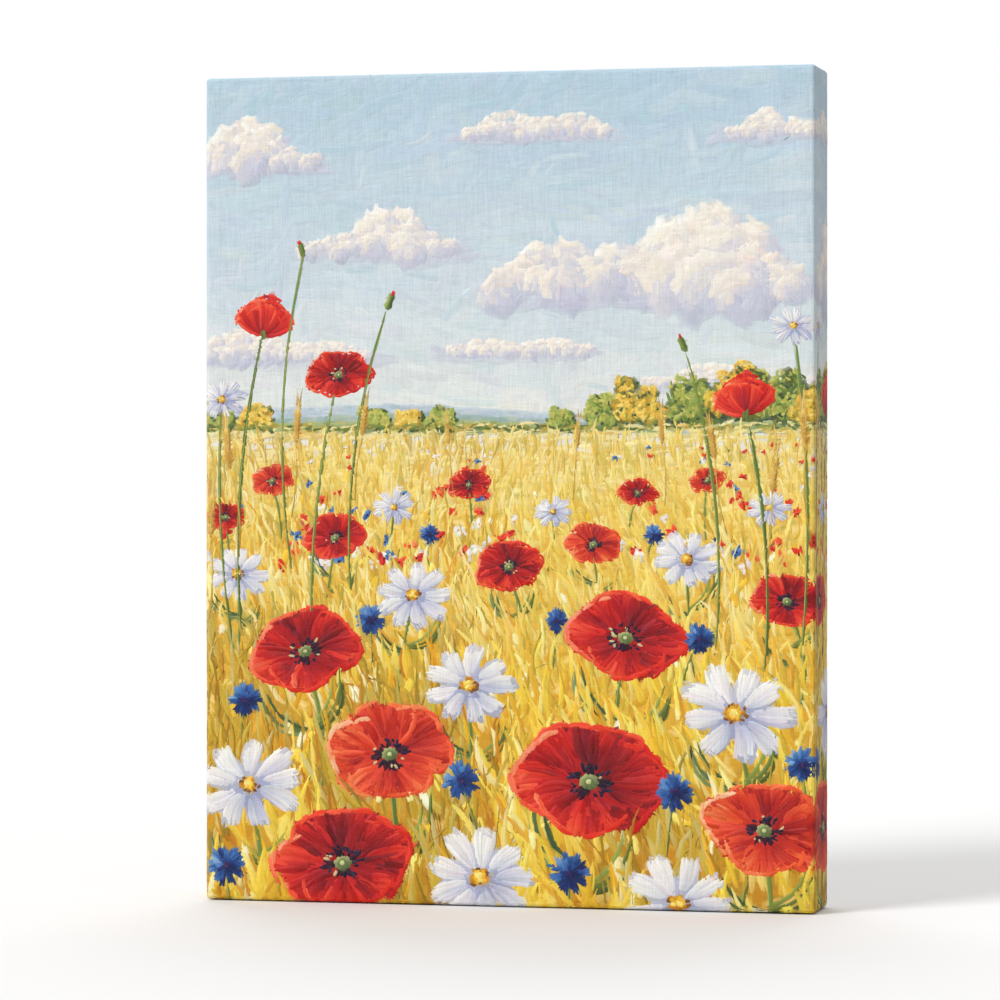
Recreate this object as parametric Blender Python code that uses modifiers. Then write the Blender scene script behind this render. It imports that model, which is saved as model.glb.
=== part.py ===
"""Gallery-wrapped canvas wall print, 12 x 16 inches on 1.5 inch deep stretcher bars.

A cotton-polyester cloth is pulled over four mitred pine bars, turned round
their sides and fastened on the back. Two wedge-shaped keys sit in the slots of
every corner, a toothed steel hanger is nailed to the top bar, and two round
pads keep the lower edge off the wall.

Frame: metres, +Z up, the picture faces -Y, +X is to the viewer's right.
The origin lies on the rear flat of the hanger, at its middle, which is also
the plane of the wall.
"""
import math

import bmesh
import bpy
from mathutils import Matrix, Vector

# ---------------------------------------------------------------- dimensions
FACE_W = 0.3048          # 12 in, width of the picture face
FACE_H = 0.4064          # 16 in, height of the picture face
DEPTH = 0.0381           # 1.5 in, from the picture face to the back of the turned-in cloth
CLOTH_T = 0.0005         # cloth thickness
GAP = 0.0003             # clearance between touching pieces
EDGE_R = 0.0018          # rounding of the cloth over the bars
TURN_IN = 0.0185         # cloth turned in on the back

BAR_W = 0.0320           # width of a bar, seen from the back
BEAD = 0.0045            # outer bead that carries the cloth
BEVEL_DROP = 0.0060      # how far the bar's front falls away from the cloth
SOFT = 0.0010            # broken edges of the timber
CORNER_BREAK = 0.0009    # how much of a frame corner is broken away, measured across it

SLOT_T = 0.0044          # key slots, across the depth
SLOT_IN = 0.0100         # how far a slot reaches into its bar
SLOT_LONG = 0.0290       # how far a slot runs along its bar
SLOT_Y_ACROSS = -0.0150  # middle of the slots in the top and bottom bars
SLOT_Y_UPRIGHT = -0.0208 # middle of the slots in the upright bars
KEY_T = 0.0036

HANGER_L = 0.0460        # toothed hanger
HANGER_H = 0.0090
HANGER_T = 0.0008
HANGER_FLAT = 0.0270     # length of the raised middle
HANGER_RISE = 0.0020     # how far the middle stands off its end tabs
TOOTH_PITCH = 0.0030
TOOTH_DEEP = 0.0018
NAIL_X = 0.0192          # nails, from the middle of the hanger
NAIL_R = 0.0008
NAIL_HEAD_R = 0.0021
NAIL_LONG = 0.0100
NAIL_HOLE_R = 0.0011

PAD_R = 0.0060           # round wall pads
PAD_X = 0.1000
PAD_FROM_EDGE = 0.0258

# ---------------------------------------------------------------- derived
HANGER_FROM_TOP = 0.0252
Z_TOP = HANGER_FROM_TOP
Z_BOTTOM = Z_TOP - FACE_H
Z_MID = (Z_TOP + Z_BOTTOM) / 2
Y_TAB = -(HANGER_T + HANGER_RISE)          # front of the hanger's end tabs
Y_BAR_BACK = Y_TAB - GAP                   # back of the timber
Y_CLOTH_BACK = Y_BAR_BACK + GAP + CLOTH_T  # rear of the turned-in cloth
Y_FRONT = Y_CLOTH_BACK - DEPTH             # picture face
Y_BAR_FRONT = Y_FRONT + CLOTH_T + GAP
INSET = CLOTH_T + GAP                      # timber's outer side, inside the cloth
HALF_W = FACE_W / 2 - INSET
HALF_H = FACE_H / 2 - INSET
BAR_T = Y_BAR_BACK - Y_BAR_FRONT

for old in list(bpy.data.objects):
    bpy.data.objects.remove(old, do_unlink=True)

scene = bpy.context.scene
parts = bpy.data.collections.new("canvas_wall_print")
cutters = bpy.data.collections.new("cutters")
scene.collection.children.link(parts)
scene.collection.children.link(cutters)


# ---------------------------------------------------------------- helpers
def material(name, colour, roughness, metallic=0.0):
    m = bpy.data.materials.new(name)
    m.use_nodes = True
    shader = m.node_tree.nodes["Principled BSDF"]
    shader.inputs["Base Color"].default_value = (*colour, 1)
    shader.inputs["Roughness"].default_value = roughness
    shader.inputs["Metallic"].default_value = metallic
    return m


PINE = material("pine", (0.72, 0.52, 0.30), 0.62)
CLOTH = material("printed_cloth", (0.72, 0.72, 0.62), 0.75)
ZINC = material("zinc_steel", (0.62, 0.61, 0.58), 0.38, 0.9)
RUBBER = material("pad_rubber", (0.10, 0.10, 0.10), 0.85)


def link(obj, collection=parts):
    for c in list(obj.users_collection):
        c.objects.unlink(obj)
    collection.objects.link(obj)
    return obj


def mesh_object(name, bm, mat):
    mesh = bpy.data.meshes.new(name)
    bm.to_mesh(mesh)
    bm.free()
    obj = bpy.data.objects.new(name, mesh)
    parts.objects.link(obj)
    if mat is not None:
        mesh.materials.append(mat)
    return obj


def outline_to_bmesh(points, thickness):
    """A closed flat outline in its own XY plane, made solid both ways along Z."""
    curve = bpy.data.curves.new("outline", "CURVE")
    curve.dimensions = "2D"
    curve.fill_mode = "BOTH"
    curve.extrude = thickness / 2
    spline = curve.splines.new("POLY")
    spline.points.add(len(points) - 1)
    for p, (x, y) in zip(spline.points, points):
        p.co = (x, y, 0, 1)
    spline.use_cyclic_u = True
    helper = bpy.data.objects.new("outline", curve)
    scene.collection.objects.link(helper)
    bpy.context.view_layer.update()
    graph = bpy.context.evaluated_depsgraph_get()
    mesh = bpy.data.meshes.new_from_object(helper.evaluated_get(graph))
    bm = bmesh.new()
    bm.from_mesh(mesh)
    bmesh.ops.remove_doubles(bm, verts=bm.verts, dist=1e-6)
    bmesh.ops.recalc_face_normals(bm, faces=bm.faces)
    bpy.data.objects.remove(helper, do_unlink=True)
    bpy.data.curves.remove(curve)
    bpy.data.meshes.remove(mesh)
    return bm


def box_cutter(name, low, high):
    """A hidden block between two corners, for cutting."""
    bm = bmesh.new()
    bmesh.ops.create_cube(bm, size=1.0)
    low, high = Vector(low), Vector(high)
    bmesh.ops.scale(bm, vec=high - low, verts=bm.verts)
    bmesh.ops.translate(bm, vec=(low + high) / 2, verts=bm.verts)
    obj = mesh_object(name, bm, None)
    return hide(obj)


def rod_cutter(name, centre, radius, length, sides=16):
    """A hidden rod along Y, for drilling."""
    bm = bmesh.new()
    bmesh.ops.create_cone(
        bm, cap_ends=True, segments=sides, radius1=radius, radius2=radius, depth=length,
        matrix=Matrix.Rotation(math.pi / 2, 4, "X"))
    bmesh.ops.translate(bm, vec=Vector(centre), verts=bm.verts)
    bmesh.ops.recalc_face_normals(bm, faces=bm.faces)
    return hide(mesh_object(name, bm, None))


def hide(obj):
    link(obj, cutters)
    obj.hide_render = True
    obj.display_type = "WIRE"
    return obj


def cut(obj, *tools):
    for tool in tools:
        m = obj.modifiers.new("cut_" + tool.name, "BOOLEAN")
        m.operation = "DIFFERENCE"
        m.solver = "EXACT"
        m.object = tool


# ---------------------------------------------------------------- the cloth
def make_canvas():
    """The cloth: a box of cloth with its back open but for the turned-in edge."""
    bm = bmesh.new()
    bmesh.ops.create_cube(bm, size=1.0)
    bmesh.ops.scale(bm, vec=(FACE_W, DEPTH, FACE_H), verts=bm.verts)
    bm.faces.ensure_lookup_table()
    back = [f for f in bm.faces if f.normal.y > 0.9]
    bmesh.ops.inset_region(bm, faces=back, thickness=TURN_IN)
    back = [f for f in bm.faces if f.normal.y > 0.9 and abs(f.calc_center_median().x) < 1e-6
            and abs(f.calc_center_median().z) < 1e-6]
    bmesh.ops.delete(bm, geom=back, context="FACES")
    obj = mesh_object("canvas", bm, CLOTH)
    obj.location = (0, (Y_FRONT + Y_CLOTH_BACK) / 2, Z_MID)
    bevel = obj.modifiers.new("soft_edges", "BEVEL")
    bevel.width = EDGE_R
    bevel.segments = 2
    bevel.limit_method = "ANGLE"
    bevel.angle_limit = math.radians(40)
    thick = obj.modifiers.new("cloth_thickness", "SOLIDIFY")
    thick.thickness = CLOTH_T
    thick.offset = -1
    thick.use_even_offset = True
    return obj


# ---------------------------------------------------------------- the bars
def bar_profile():
    """Section of a bar: x is the distance inwards from the outer side, y the
    depth behind the bead. The front falls away so the cloth touches only the bead."""
    return [
        (0, 0.0014), (0.0014, 0), (BEAD, 0),
        (BEAD + 0.0035, BEVEL_DROP * 0.45),
        (BAR_W - SOFT, BEVEL_DROP), (BAR_W, BEVEL_DROP + SOFT),
        (BAR_W, BAR_T - SOFT), (BAR_W - SOFT, BAR_T),
        (SOFT, BAR_T), (0, BAR_T - SOFT),
    ]


def make_bar(name, inwards, outer_middle, length):
    """One mitred bar. inwards points to the opening, and length is its outer length."""
    n = Vector(inwards)
    y = Vector((0, 1, 0))
    t = n.cross(y)
    bm = outline_to_bmesh(bar_profile(), length + 0.02)
    place = Matrix((n, y, t)).transposed().to_4x4()
    place.translation = Vector(outer_middle)
    bmesh.ops.transform(bm, matrix=place, verts=bm.verts)
    for way in (1, -1):
        corner = Vector(outer_middle) + t * way * length / 2
        normal = (n + t * way).normalized()
        made = bmesh.ops.bisect_plane(
            bm, geom=bm.verts[:] + bm.edges[:] + bm.faces[:], dist=1e-7,
            plane_co=corner - normal * (GAP / 2), plane_no=normal, clear_outer=True)
        rim = [e for e in made["geom_cut"] if isinstance(e, bmesh.types.BMEdge)]
        bmesh.ops.edgeloop_fill(bm, edges=rim)
        # break the outer corner, so that the cloth can go round it
        normal = (t * way - n).normalized()
        made = bmesh.ops.bisect_plane(
            bm, geom=bm.verts[:] + bm.edges[:] + bm.faces[:], dist=1e-7,
            plane_co=corner - normal * CORNER_BREAK, plane_no=normal, clear_outer=True)
        rim = [e for e in made["geom_cut"] if isinstance(e, bmesh.types.BMEdge)]
        bmesh.ops.edgeloop_fill(bm, edges=rim)
    bmesh.ops.recalc_face_normals(bm, faces=bm.faces)
    # the object's own origin sits at the middle of its outer side
    bmesh.ops.translate(bm, vec=-Vector(outer_middle), verts=bm.verts)
    obj = mesh_object(name, bm, PINE)
    obj.location = outer_middle
    return obj


def slot_cutters(name, across, sx, sz):
    """The block that opens the key slot of one bar end. sx and sz say which corner."""
    inner_x, inner_z = HALF_W - BAR_W, HALF_H - BAR_W
    mid = SLOT_Y_ACROSS if across else SLOT_Y_UPRIGHT
    y0, y1 = mid - SLOT_T / 2, mid + SLOT_T / 2
    if across:      # in the top or bottom bar
        x0, x1 = inner_x - SLOT_LONG, inner_x + SLOT_IN + 0.006
        z0, z1 = inner_z - 0.004, inner_z + SLOT_IN
    else:           # in an upright bar
        x0, x1 = inner_x - 0.004, inner_x + SLOT_IN
        z0, z1 = inner_z - SLOT_LONG, inner_z + SLOT_IN + 0.006
    xs = sorted((sx * x0, sx * x1))
    zs = sorted((Z_MID + sz * z0, Z_MID + sz * z1))
    return box_cutter(name, (xs[0], y0, zs[0]), (xs[1], y1, zs[1]))


def make_key(name, across, sx, sz):
    """A wedge that sits half in its slot and tapers away from the corner."""
    inner_x, inner_z = HALF_W - BAR_W, HALF_H - BAR_W
    # along the bar from the corner, and out of the slot into the opening
    wedge = [(0.0012, 0.0110), (0.0280, 0.0022), (0.0280, -0.0042), (0.0012, -0.0092)]
    points = []
    for along, out in wedge:
        if across:
            points.append((sx * (inner_x - along), Z_MID + sz * (inner_z - out)))
        else:
            points.append((sx * (inner_x - out), Z_MID + sz * (inner_z - along)))
    cx = sum(p[0] for p in points) / 4
    cz = sum(p[1] for p in points) / 4
    bm = outline_to_bmesh([(x - cx, z - cz) for x, z in points], KEY_T)
    obj = mesh_object(name, bm, PINE)
    obj.location = (cx, SLOT_Y_ACROSS if across else SLOT_Y_UPRIGHT, cz)
    obj.rotation_euler = (math.pi / 2, 0, 0)
    bevel = obj.modifiers.new("broken_edges", "BEVEL")
    bevel.width = 0.0004
    bevel.segments = 1
    bevel.limit_method = "ANGLE"
    return obj


# ---------------------------------------------------------------- hanging gear
def make_hanger():
    """A strip bent up at its middle, with teeth along the lower edge of the raised part."""
    half, flat = HANGER_L / 2, HANGER_FLAT / 2
    run = 0.0022
    path = [(-half, Y_TAB), (-flat - run, Y_TAB), (-flat, Y_TAB + HANGER_RISE),
            (flat, Y_TAB + HANGER_RISE), (flat + run, Y_TAB), (half, Y_TAB)]
    bm = bmesh.new()
    row = [bm.verts.new((x, y, -HANGER_H / 2)) for x, y in path]
    edges = [bm.edges.new((a, b)) for a, b in zip(row, row[1:])]
    made = bmesh.ops.extrude_edge_only(bm, edges=edges)
    top = [v for v in made["geom"] if isinstance(v, bmesh.types.BMVert)]
    bmesh.ops.translate(bm, vec=(0, 0, HANGER_H), verts=top)
    bmesh.ops.recalc_face_normals(bm, faces=bm.faces)
    if sum(f.normal.y for f in bm.faces) > 0:     # the sheet faces the bar
        bmesh.ops.reverse_faces(bm, faces=bm.faces)
    obj = mesh_object("sawtooth_hanger", bm, ZINC)
    thick = obj.modifiers.new("sheet", "SOLIDIFY")
    thick.thickness = HANGER_T
    thick.offset = -1
    thick.use_even_offset = True
    # teeth: a comb of wedges joined by a bar below the strip
    count = int((HANGER_FLAT - 0.004) / TOOTH_PITCH)
    start = -count * TOOTH_PITCH / 2
    low = -HANGER_H / 2
    comb = [(start, low - 0.004)]
    for i in range(count):
        x = start + i * TOOTH_PITCH
        comb += [(x, low - 0.0002), (x + TOOTH_PITCH / 2, low + TOOTH_DEEP)]
    comb += [(start + count * TOOTH_PITCH, low - 0.0002), (-start, low - 0.004)]
    bm = outline_to_bmesh(comb, 0.008)
    bmesh.ops.rotate(bm, cent=(0, 0, 0), matrix=Matrix.Rotation(math.pi / 2, 3, "X"), verts=bm.verts)
    bmesh.ops.recalc_face_normals(bm, faces=bm.faces)
    cut(obj, hide(mesh_object("teeth_cutter", bm, None)))
    for side, x in (("left", -NAIL_X), ("right", NAIL_X)):
        cut(obj, rod_cutter(f"tab_hole_{side}", (x, Y_TAB, 0), NAIL_HOLE_R, 0.006))
    return obj


def make_nail(name, x):
    """A turned nail: flat-topped head over the tab, shank and point in the bar."""
    head_top = Y_TAB + HANGER_T + GAP + 0.0009
    under = Y_TAB + HANGER_T + GAP
    tip = Y_BAR_BACK - NAIL_LONG
    profile = [(0, head_top), (NAIL_HEAD_R - 0.0004, head_top), (NAIL_HEAD_R, head_top - 0.0004),
               (NAIL_HEAD_R, under), (NAIL_R, under), (NAIL_R, tip + 0.0020), (0, tip)]
    bm = bmesh.new()
    verts = [bm.verts.new((r, 0, h)) for r, h in profile]
    for a, b in zip(verts, verts[1:]):
        bm.edges.new((a, b))
    obj = mesh_object(name, bm, ZINC)
    obj.location = (x, 0, 0)
    obj.rotation_euler = (-math.pi / 2, 0, 0)   # the nail's own +Z becomes +Y
    turn = obj.modifiers.new("turn", "SCREW")
    turn.steps = turn.render_steps = 16
    turn.use_merge_vertices = True
    turn.merge_threshold = 0.00005
    turn.use_smooth_shade = True
    return obj


def make_pad(name, x):
    bpy.ops.mesh.primitive_cylinder_add(vertices=24, radius=PAD_R, depth=-Y_TAB)
    obj = link(bpy.context.object)
    obj.name = obj.data.name = name
    obj.location = (x, Y_TAB / 2, Z_BOTTOM + PAD_FROM_EDGE)
    obj.rotation_euler = (math.pi / 2, 0, 0)
    obj.data.materials.append(RUBBER)
    bevel = obj.modifiers.new("round_rim", "BEVEL")
    bevel.width = 0.0006
    bevel.segments = 2
    bevel.limit_method = "ANGLE"
    return obj


# ---------------------------------------------------------------- assembly
make_canvas()

bars = {
    "bar_bottom": make_bar("bar_bottom", (0, 0, 1), (0, Y_BAR_FRONT, Z_MID - HALF_H), 2 * HALF_W),
    "bar_top": make_bar("bar_top", (0, 0, -1), (0, Y_BAR_FRONT, Z_MID + HALF_H), 2 * HALF_W),
    "bar_left": make_bar("bar_left", (1, 0, 0), (-HALF_W, Y_BAR_FRONT, Z_MID), 2 * HALF_H),
    "bar_right": make_bar("bar_right", (-1, 0, 0), (HALF_W, Y_BAR_FRONT, Z_MID), 2 * HALF_H),
}

for vertical, sz in (("bottom", -1), ("top", 1)):
    for sideways, sx in (("left", -1), ("right", 1)):
        corner = f"{vertical}_{sideways}"
        cut(bars[f"bar_{vertical}"], slot_cutters(f"slot_across_{corner}", True, sx, sz))
        cut(bars[f"bar_{sideways}"], slot_cutters(f"slot_upright_{corner}", False, sx, sz))
        make_key(f"key_{corner}_across", True, sx, sz)
        make_key(f"key_{corner}_upright", False, sx, sz)

make_hanger()
for side, x in (("left", -NAIL_X), ("right", NAIL_X)):
    make_nail(f"hanger_nail_{side}", x)
    cut(bars["bar_top"], rod_cutter(
        f"nail_hole_{side}", (x, Y_BAR_BACK - NAIL_LONG / 2 + 0.001, 0), NAIL_HOLE_R, NAIL_LONG + 0.003))
    make_pad(f"wall_pad_{side}", -PAD_X if side == "left" else PAD_X)

bpy.context.view_layer.update()
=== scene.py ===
"""Looks for the gallery-wrapped canvas print: printed cloth, brushwork, timber, staples, studio."""
import math

import bmesh
import bpy
import numpy as np
from mathutils import Matrix, Vector


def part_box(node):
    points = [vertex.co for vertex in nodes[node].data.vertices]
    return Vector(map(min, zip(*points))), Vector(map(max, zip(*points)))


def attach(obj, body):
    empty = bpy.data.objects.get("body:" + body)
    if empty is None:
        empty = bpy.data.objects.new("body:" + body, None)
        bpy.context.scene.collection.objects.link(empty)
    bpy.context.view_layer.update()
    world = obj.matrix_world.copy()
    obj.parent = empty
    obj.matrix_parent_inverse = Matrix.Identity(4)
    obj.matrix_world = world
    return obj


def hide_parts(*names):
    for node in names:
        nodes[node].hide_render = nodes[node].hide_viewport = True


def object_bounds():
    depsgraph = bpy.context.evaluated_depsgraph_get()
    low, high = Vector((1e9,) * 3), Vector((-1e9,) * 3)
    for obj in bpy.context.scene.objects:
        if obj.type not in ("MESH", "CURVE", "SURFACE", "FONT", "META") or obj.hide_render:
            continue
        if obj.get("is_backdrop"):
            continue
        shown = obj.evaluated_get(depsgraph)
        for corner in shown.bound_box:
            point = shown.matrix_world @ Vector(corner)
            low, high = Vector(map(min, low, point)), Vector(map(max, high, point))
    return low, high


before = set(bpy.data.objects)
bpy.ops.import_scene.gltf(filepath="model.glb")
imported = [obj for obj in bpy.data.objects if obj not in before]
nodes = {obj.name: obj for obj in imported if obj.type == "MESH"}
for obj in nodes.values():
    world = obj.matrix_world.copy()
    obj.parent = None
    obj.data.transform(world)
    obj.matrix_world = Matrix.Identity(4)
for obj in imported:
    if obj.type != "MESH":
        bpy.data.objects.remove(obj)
cad_low, cad_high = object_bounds()
scene = bpy.context.scene

# ------------------------------------------------------------------ the frame's sizes, in mm
MM = 0.001
c_low, c_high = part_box("canvas")
MID = np.array([(c_low[i] + c_high[i]) / 2 for i in range(3)]) / MM
HALF = np.array([(c_high[i] - c_low[i]) / 2 for i in range(3)]) / MM   # half width, half depth, half height
R = 1.8                                   # rounding of the cloth over the bars
ARC = math.pi * R / 4
A = HALF[0] - R + ARC                     # picture: half width and half height, along the cloth
B = HALF[2] - R + ARC
SIDE = 2 * (HALF[1] - R + ARC)            # depth of a side, along the cloth
TURN_IN = 18.2
PRINT_OVER = 5.5                          # how far the print goes round onto the back
CLOTH_DROP = 0.10                         # the cloth's surface, below the zero of the brushwork


# ------------------------------------------------------------------ wrapping the picture round the bars
FACES = {
    "front": (0, 2, np.array([0.0, -1.0, 0.0]), 1),
    "back": (0, 2, np.array([0.0, 1.0, 0.0]), 1),
    "right": (1, 2, np.array([1.0, 0.0, 0.0]), 0),
    "left": (1, 2, np.array([-1.0, 0.0, 0.0]), 0),
    "top": (0, 1, np.array([0.0, 0.0, 1.0]), 2),
    "bottom": (0, 1, np.array([0.0, 0.0, -1.0]), 2),
}


FOLD, FOLD_WIDE = .50, 11.0               # cloth folded under the top and bottom flaps, at every corner


def rise(v):
    v = np.clip(v, 0, 1)
    return v * v * (3 - 2 * v)


def folded(face, a, b):
    """How far the layers folded away in the corners lift the cloth of the top and bottom sides and of their flaps."""
    if face in ("top", "bottom"):
        end, front = A - np.abs(a), b + SIDE / 2
        return .24 * rise((end - 1.45) / .6) * rise((front - end + 1) / 2.2) * rise((SIDE - 1.2 - front) / 1.6)
    if face == "back":
        t, d = np.abs(b) - B + A - np.abs(a), B - np.abs(b)
        return FOLD * rise(t / .35) * rise((FOLD_WIDE + 2.5 - t) / 2.5) * rise((d - 1.0) / 1.6) * (d < TURN_IN + .5)
    return 0.0


def on_face(face, a, b, h):
    """Points on one face of the rounded box: a and b run along the cloth from the face's middle, h stands off it."""
    i, j, n, k = FACES[face]
    h = h + folded(face, a, b)
    out = np.zeros(a.shape + (3,))
    way = np.zeros(a.shape + (3,))
    for axis, v in ((i, a), (j, b)):
        flat = HALF[axis] - R
        over = np.clip(np.abs(v) - flat, 0, ARC)
        out[..., axis] = np.clip(v, -flat, flat)
        way[..., axis] = np.sign(v) * np.tan(over / R)
    way[..., k] = n[k]
    out[..., k] = n[k] * (HALF[k] - R)
    way /= np.linalg.norm(way, axis=-1, keepdims=True)
    return (MID + out + way * (R + h)[..., None]) * MM


def thinned(side, p, q, h):
    """Thick paint thins out towards the edges and stays thin round them, so that the outline is straight."""
    inner = np.minimum(A - np.abs(p), B - np.abs(q)) if side == "front" else 0.0
    return np.where(h > .06, .06 + (h - .06) * (.34 + .66 * rise(inner / 14)), h)


def wrap(side, p, q, h):
    """Picture coordinates to space. On a side, p or q beyond the edge is read as mirrored distance from it."""
    h = thinned(side, p, q, h)
    if side == "front":
        return on_face("front", p, q, h)
    d = {"right": A - p, "left": A + p, "top": B - q, "bottom": B + q}[side]
    along = q if side in ("right", "left") else p
    half = SIDE / 2
    s = np.clip(d, 0, SIDE) - half
    rest = np.clip(d - SIDE, 0, None)
    if side in ("right", "left"):
        first = on_face(side, s, along, h)
        sign = 1 if side == "right" else -1
        second = on_face("back", sign * (A - rest), along, h)
    else:
        first = on_face(side, along, s, h)
        sign = 1 if side == "top" else -1
        second = on_face("back", along, sign * (B - rest), h)
    return np.where((d > SIDE)[..., None], second, first)


# ------------------------------------------------------------------ colour
def rgb(*c):
    return np.array(c, float)


def linear(c):
    c = np.clip(np.asarray(c, float) / 255, 0, 1)
    return np.where(c <= 0.04045, c / 12.92, ((c + 0.055) / 1.055) ** 2.4)


def mix(a, b, t):
    return a + (b - a) * t


def ramp(t, stops):
    """Colour at t on a list of (place, colour)."""
    for (t0, c0), (t1, c1) in zip(stops, stops[1:]):
        if t <= t1:
            return mix(c0, c1, min(max((t - t0) / (t1 - t0), 0), 1))
    return stops[-1][1]


class Drift:
    """Smooth wandering value over the picture, from about -1 to 1."""

    def __init__(self, seed, size):
        r = np.random.default_rng(seed)
        self.k = r.normal(0, 1.0, (7, 2)) / size
        self.f = r.uniform(0, 2 * math.pi, 7)

    def __call__(self, x, y):
        return sum(math.sin(k[0] * x + k[1] * y + f) for k, f in zip(self.k, self.f)) / 2.8

    def grid(self, x, y):
        return sum(np.sin(k[0] * x + k[1] * y + f) for k, f in zip(self.k, self.f)) / 2.8


rng = np.random.default_rng(20)
LIGHT = np.array([-0.62, 0.78])      # where the painted light comes from, in the picture


class Brush:
    """Loads strokes onto one piece. ORDER keeps the painting order over all pieces."""

    def __init__(self, name, soft=.3, cover=.9):
        self.name, self.soft, self.cover = name, soft, cover
        PIECES.append(self)
        self.index = len(PIECES) - 1

    def add(self, p, q, ang, length, width, c0, c1=None, bend=0.0, relief=0.10, streak=6.0,
            lead=0.5, tail=0.3, ease=1.0, soft=None, cover=None):
        c1 = c0 if c1 is None else c1
        ORDER.append((self.index, p, q, ang, length, width, bend, relief, streak, lead, tail, ease,
                      self.soft if soft is None else soft, self.cover if cover is None else cover,
                      c0[0], c0[1], c0[2], c1[0], c1[1], c1[2], MOTIF[0]))

    def mid(self, p, q, ang, length, width, *a, **k):
        """The same, with p, q at the stroke's middle."""
        self.add(p - math.cos(ang) * length / 2, q - math.sin(ang) * length / 2, ang, length, width, *a, **k)


PIECES, ORDER, MOTIF = [], [], [0, 0]


def one_motif(paint):
    """Marks a motif, whose many strokes share one thin layer."""
    def painter(*a, **k):
        MOTIF[1] += 1
        MOTIF[0] = MOTIF[1]
        made = paint(*a, **k)
        MOTIF[0] = 0
        return made
    return painter



# ------------------------------------------------------------------ the picture: a flower meadow
HORIZON = 30.0
drift_a, drift_b, drift_c = Drift(3, 60), Drift(4, 25), Drift(5, 110)

SKY = [(0.0, rgb(236, 232, 218)), (0.10, rgb(226, 230, 226)), (0.32, rgb(211, 222, 227)),
       (0.62, rgb(197, 214, 224)), (1.0, rgb(183, 207, 221))]


def sky_colour(p, q):
    t = (q - HORIZON) / (B - HORIZON)
    c = ramp(t + 0.06 * drift_a(p, q), SKY)
    return c


def field_colour(p, q):
    t = (HORIZON - q) / (HORIZON + B)
    c = ramp(t + 0.03 * drift_b(p, q), [
        (0.0, rgb(247, 228, 158)), (0.10, rgb(244, 216, 122)), (0.25, rgb(236, 198, 84)),
        (0.45, rgb(230, 182, 62)), (0.75, rgb(214, 156, 38)), (1.0, rgb(194, 134, 28))])
    return c


def jitter(c, lum=4.0, hue=2.0):
    return c + rng.normal(0, lum) + rng.normal(0, hue, 3)


def paint_sky(b):
    for step_x, step_y, length, width, relief, strong in ((15, 8, (34, 60), (9, 15), 0.016, .35), (17, 11, (16, 34), (4, 8), 0.028, .6),
                                                          (30, 21, (9, 20), (2.5, 5), 0.045, 1.0)):
        spots = [(x + rng.uniform(-6, 6), y + rng.uniform(-5, 5))
                 for y in np.arange(HORIZON - 4, B + 8, step_y) for x in np.arange(-A - 8, A + 8, step_x)]
        rng.shuffle(spots)
        for x, y in spots:
            ang = math.radians(16 + 30 * drift_c(x, y) + rng.normal(0, 10))
            if rng.random() < 0.2:
                ang += math.radians(rng.uniform(40, 110))
            c = jitter(sky_colour(x, y), 1.6, 1.0)
            u = rng.random()
            if u < 0.14:
                c = mix(c, rgb(238, 236, 228), .30 * strong)
            elif u < 0.24:
                c = mix(c, rgb(198, 204, 230), .32 * strong)
            elif u < 0.36:
                c = mix(c, rgb(164, 204, 216), .32 * strong)
            b.mid(x, y, ang, rng.uniform(*length), rng.uniform(*width), c, jitter(c, 1, .6), bend=rng.normal(0, .06),
                  relief=relief * rng.uniform(.5, 1.4), streak=1.6, lead=.7, tail=.6)


CLOUD = [(-1.0, rgb(192, 195, 212)), (-0.45, rgb(206, 207, 219)), (0.0, rgb(224, 220, 222)),
         (0.4, rgb(240, 231, 219)), (0.75, rgb(249, 242, 229)), (1.1, rgb(254, 250, 242))]


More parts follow.
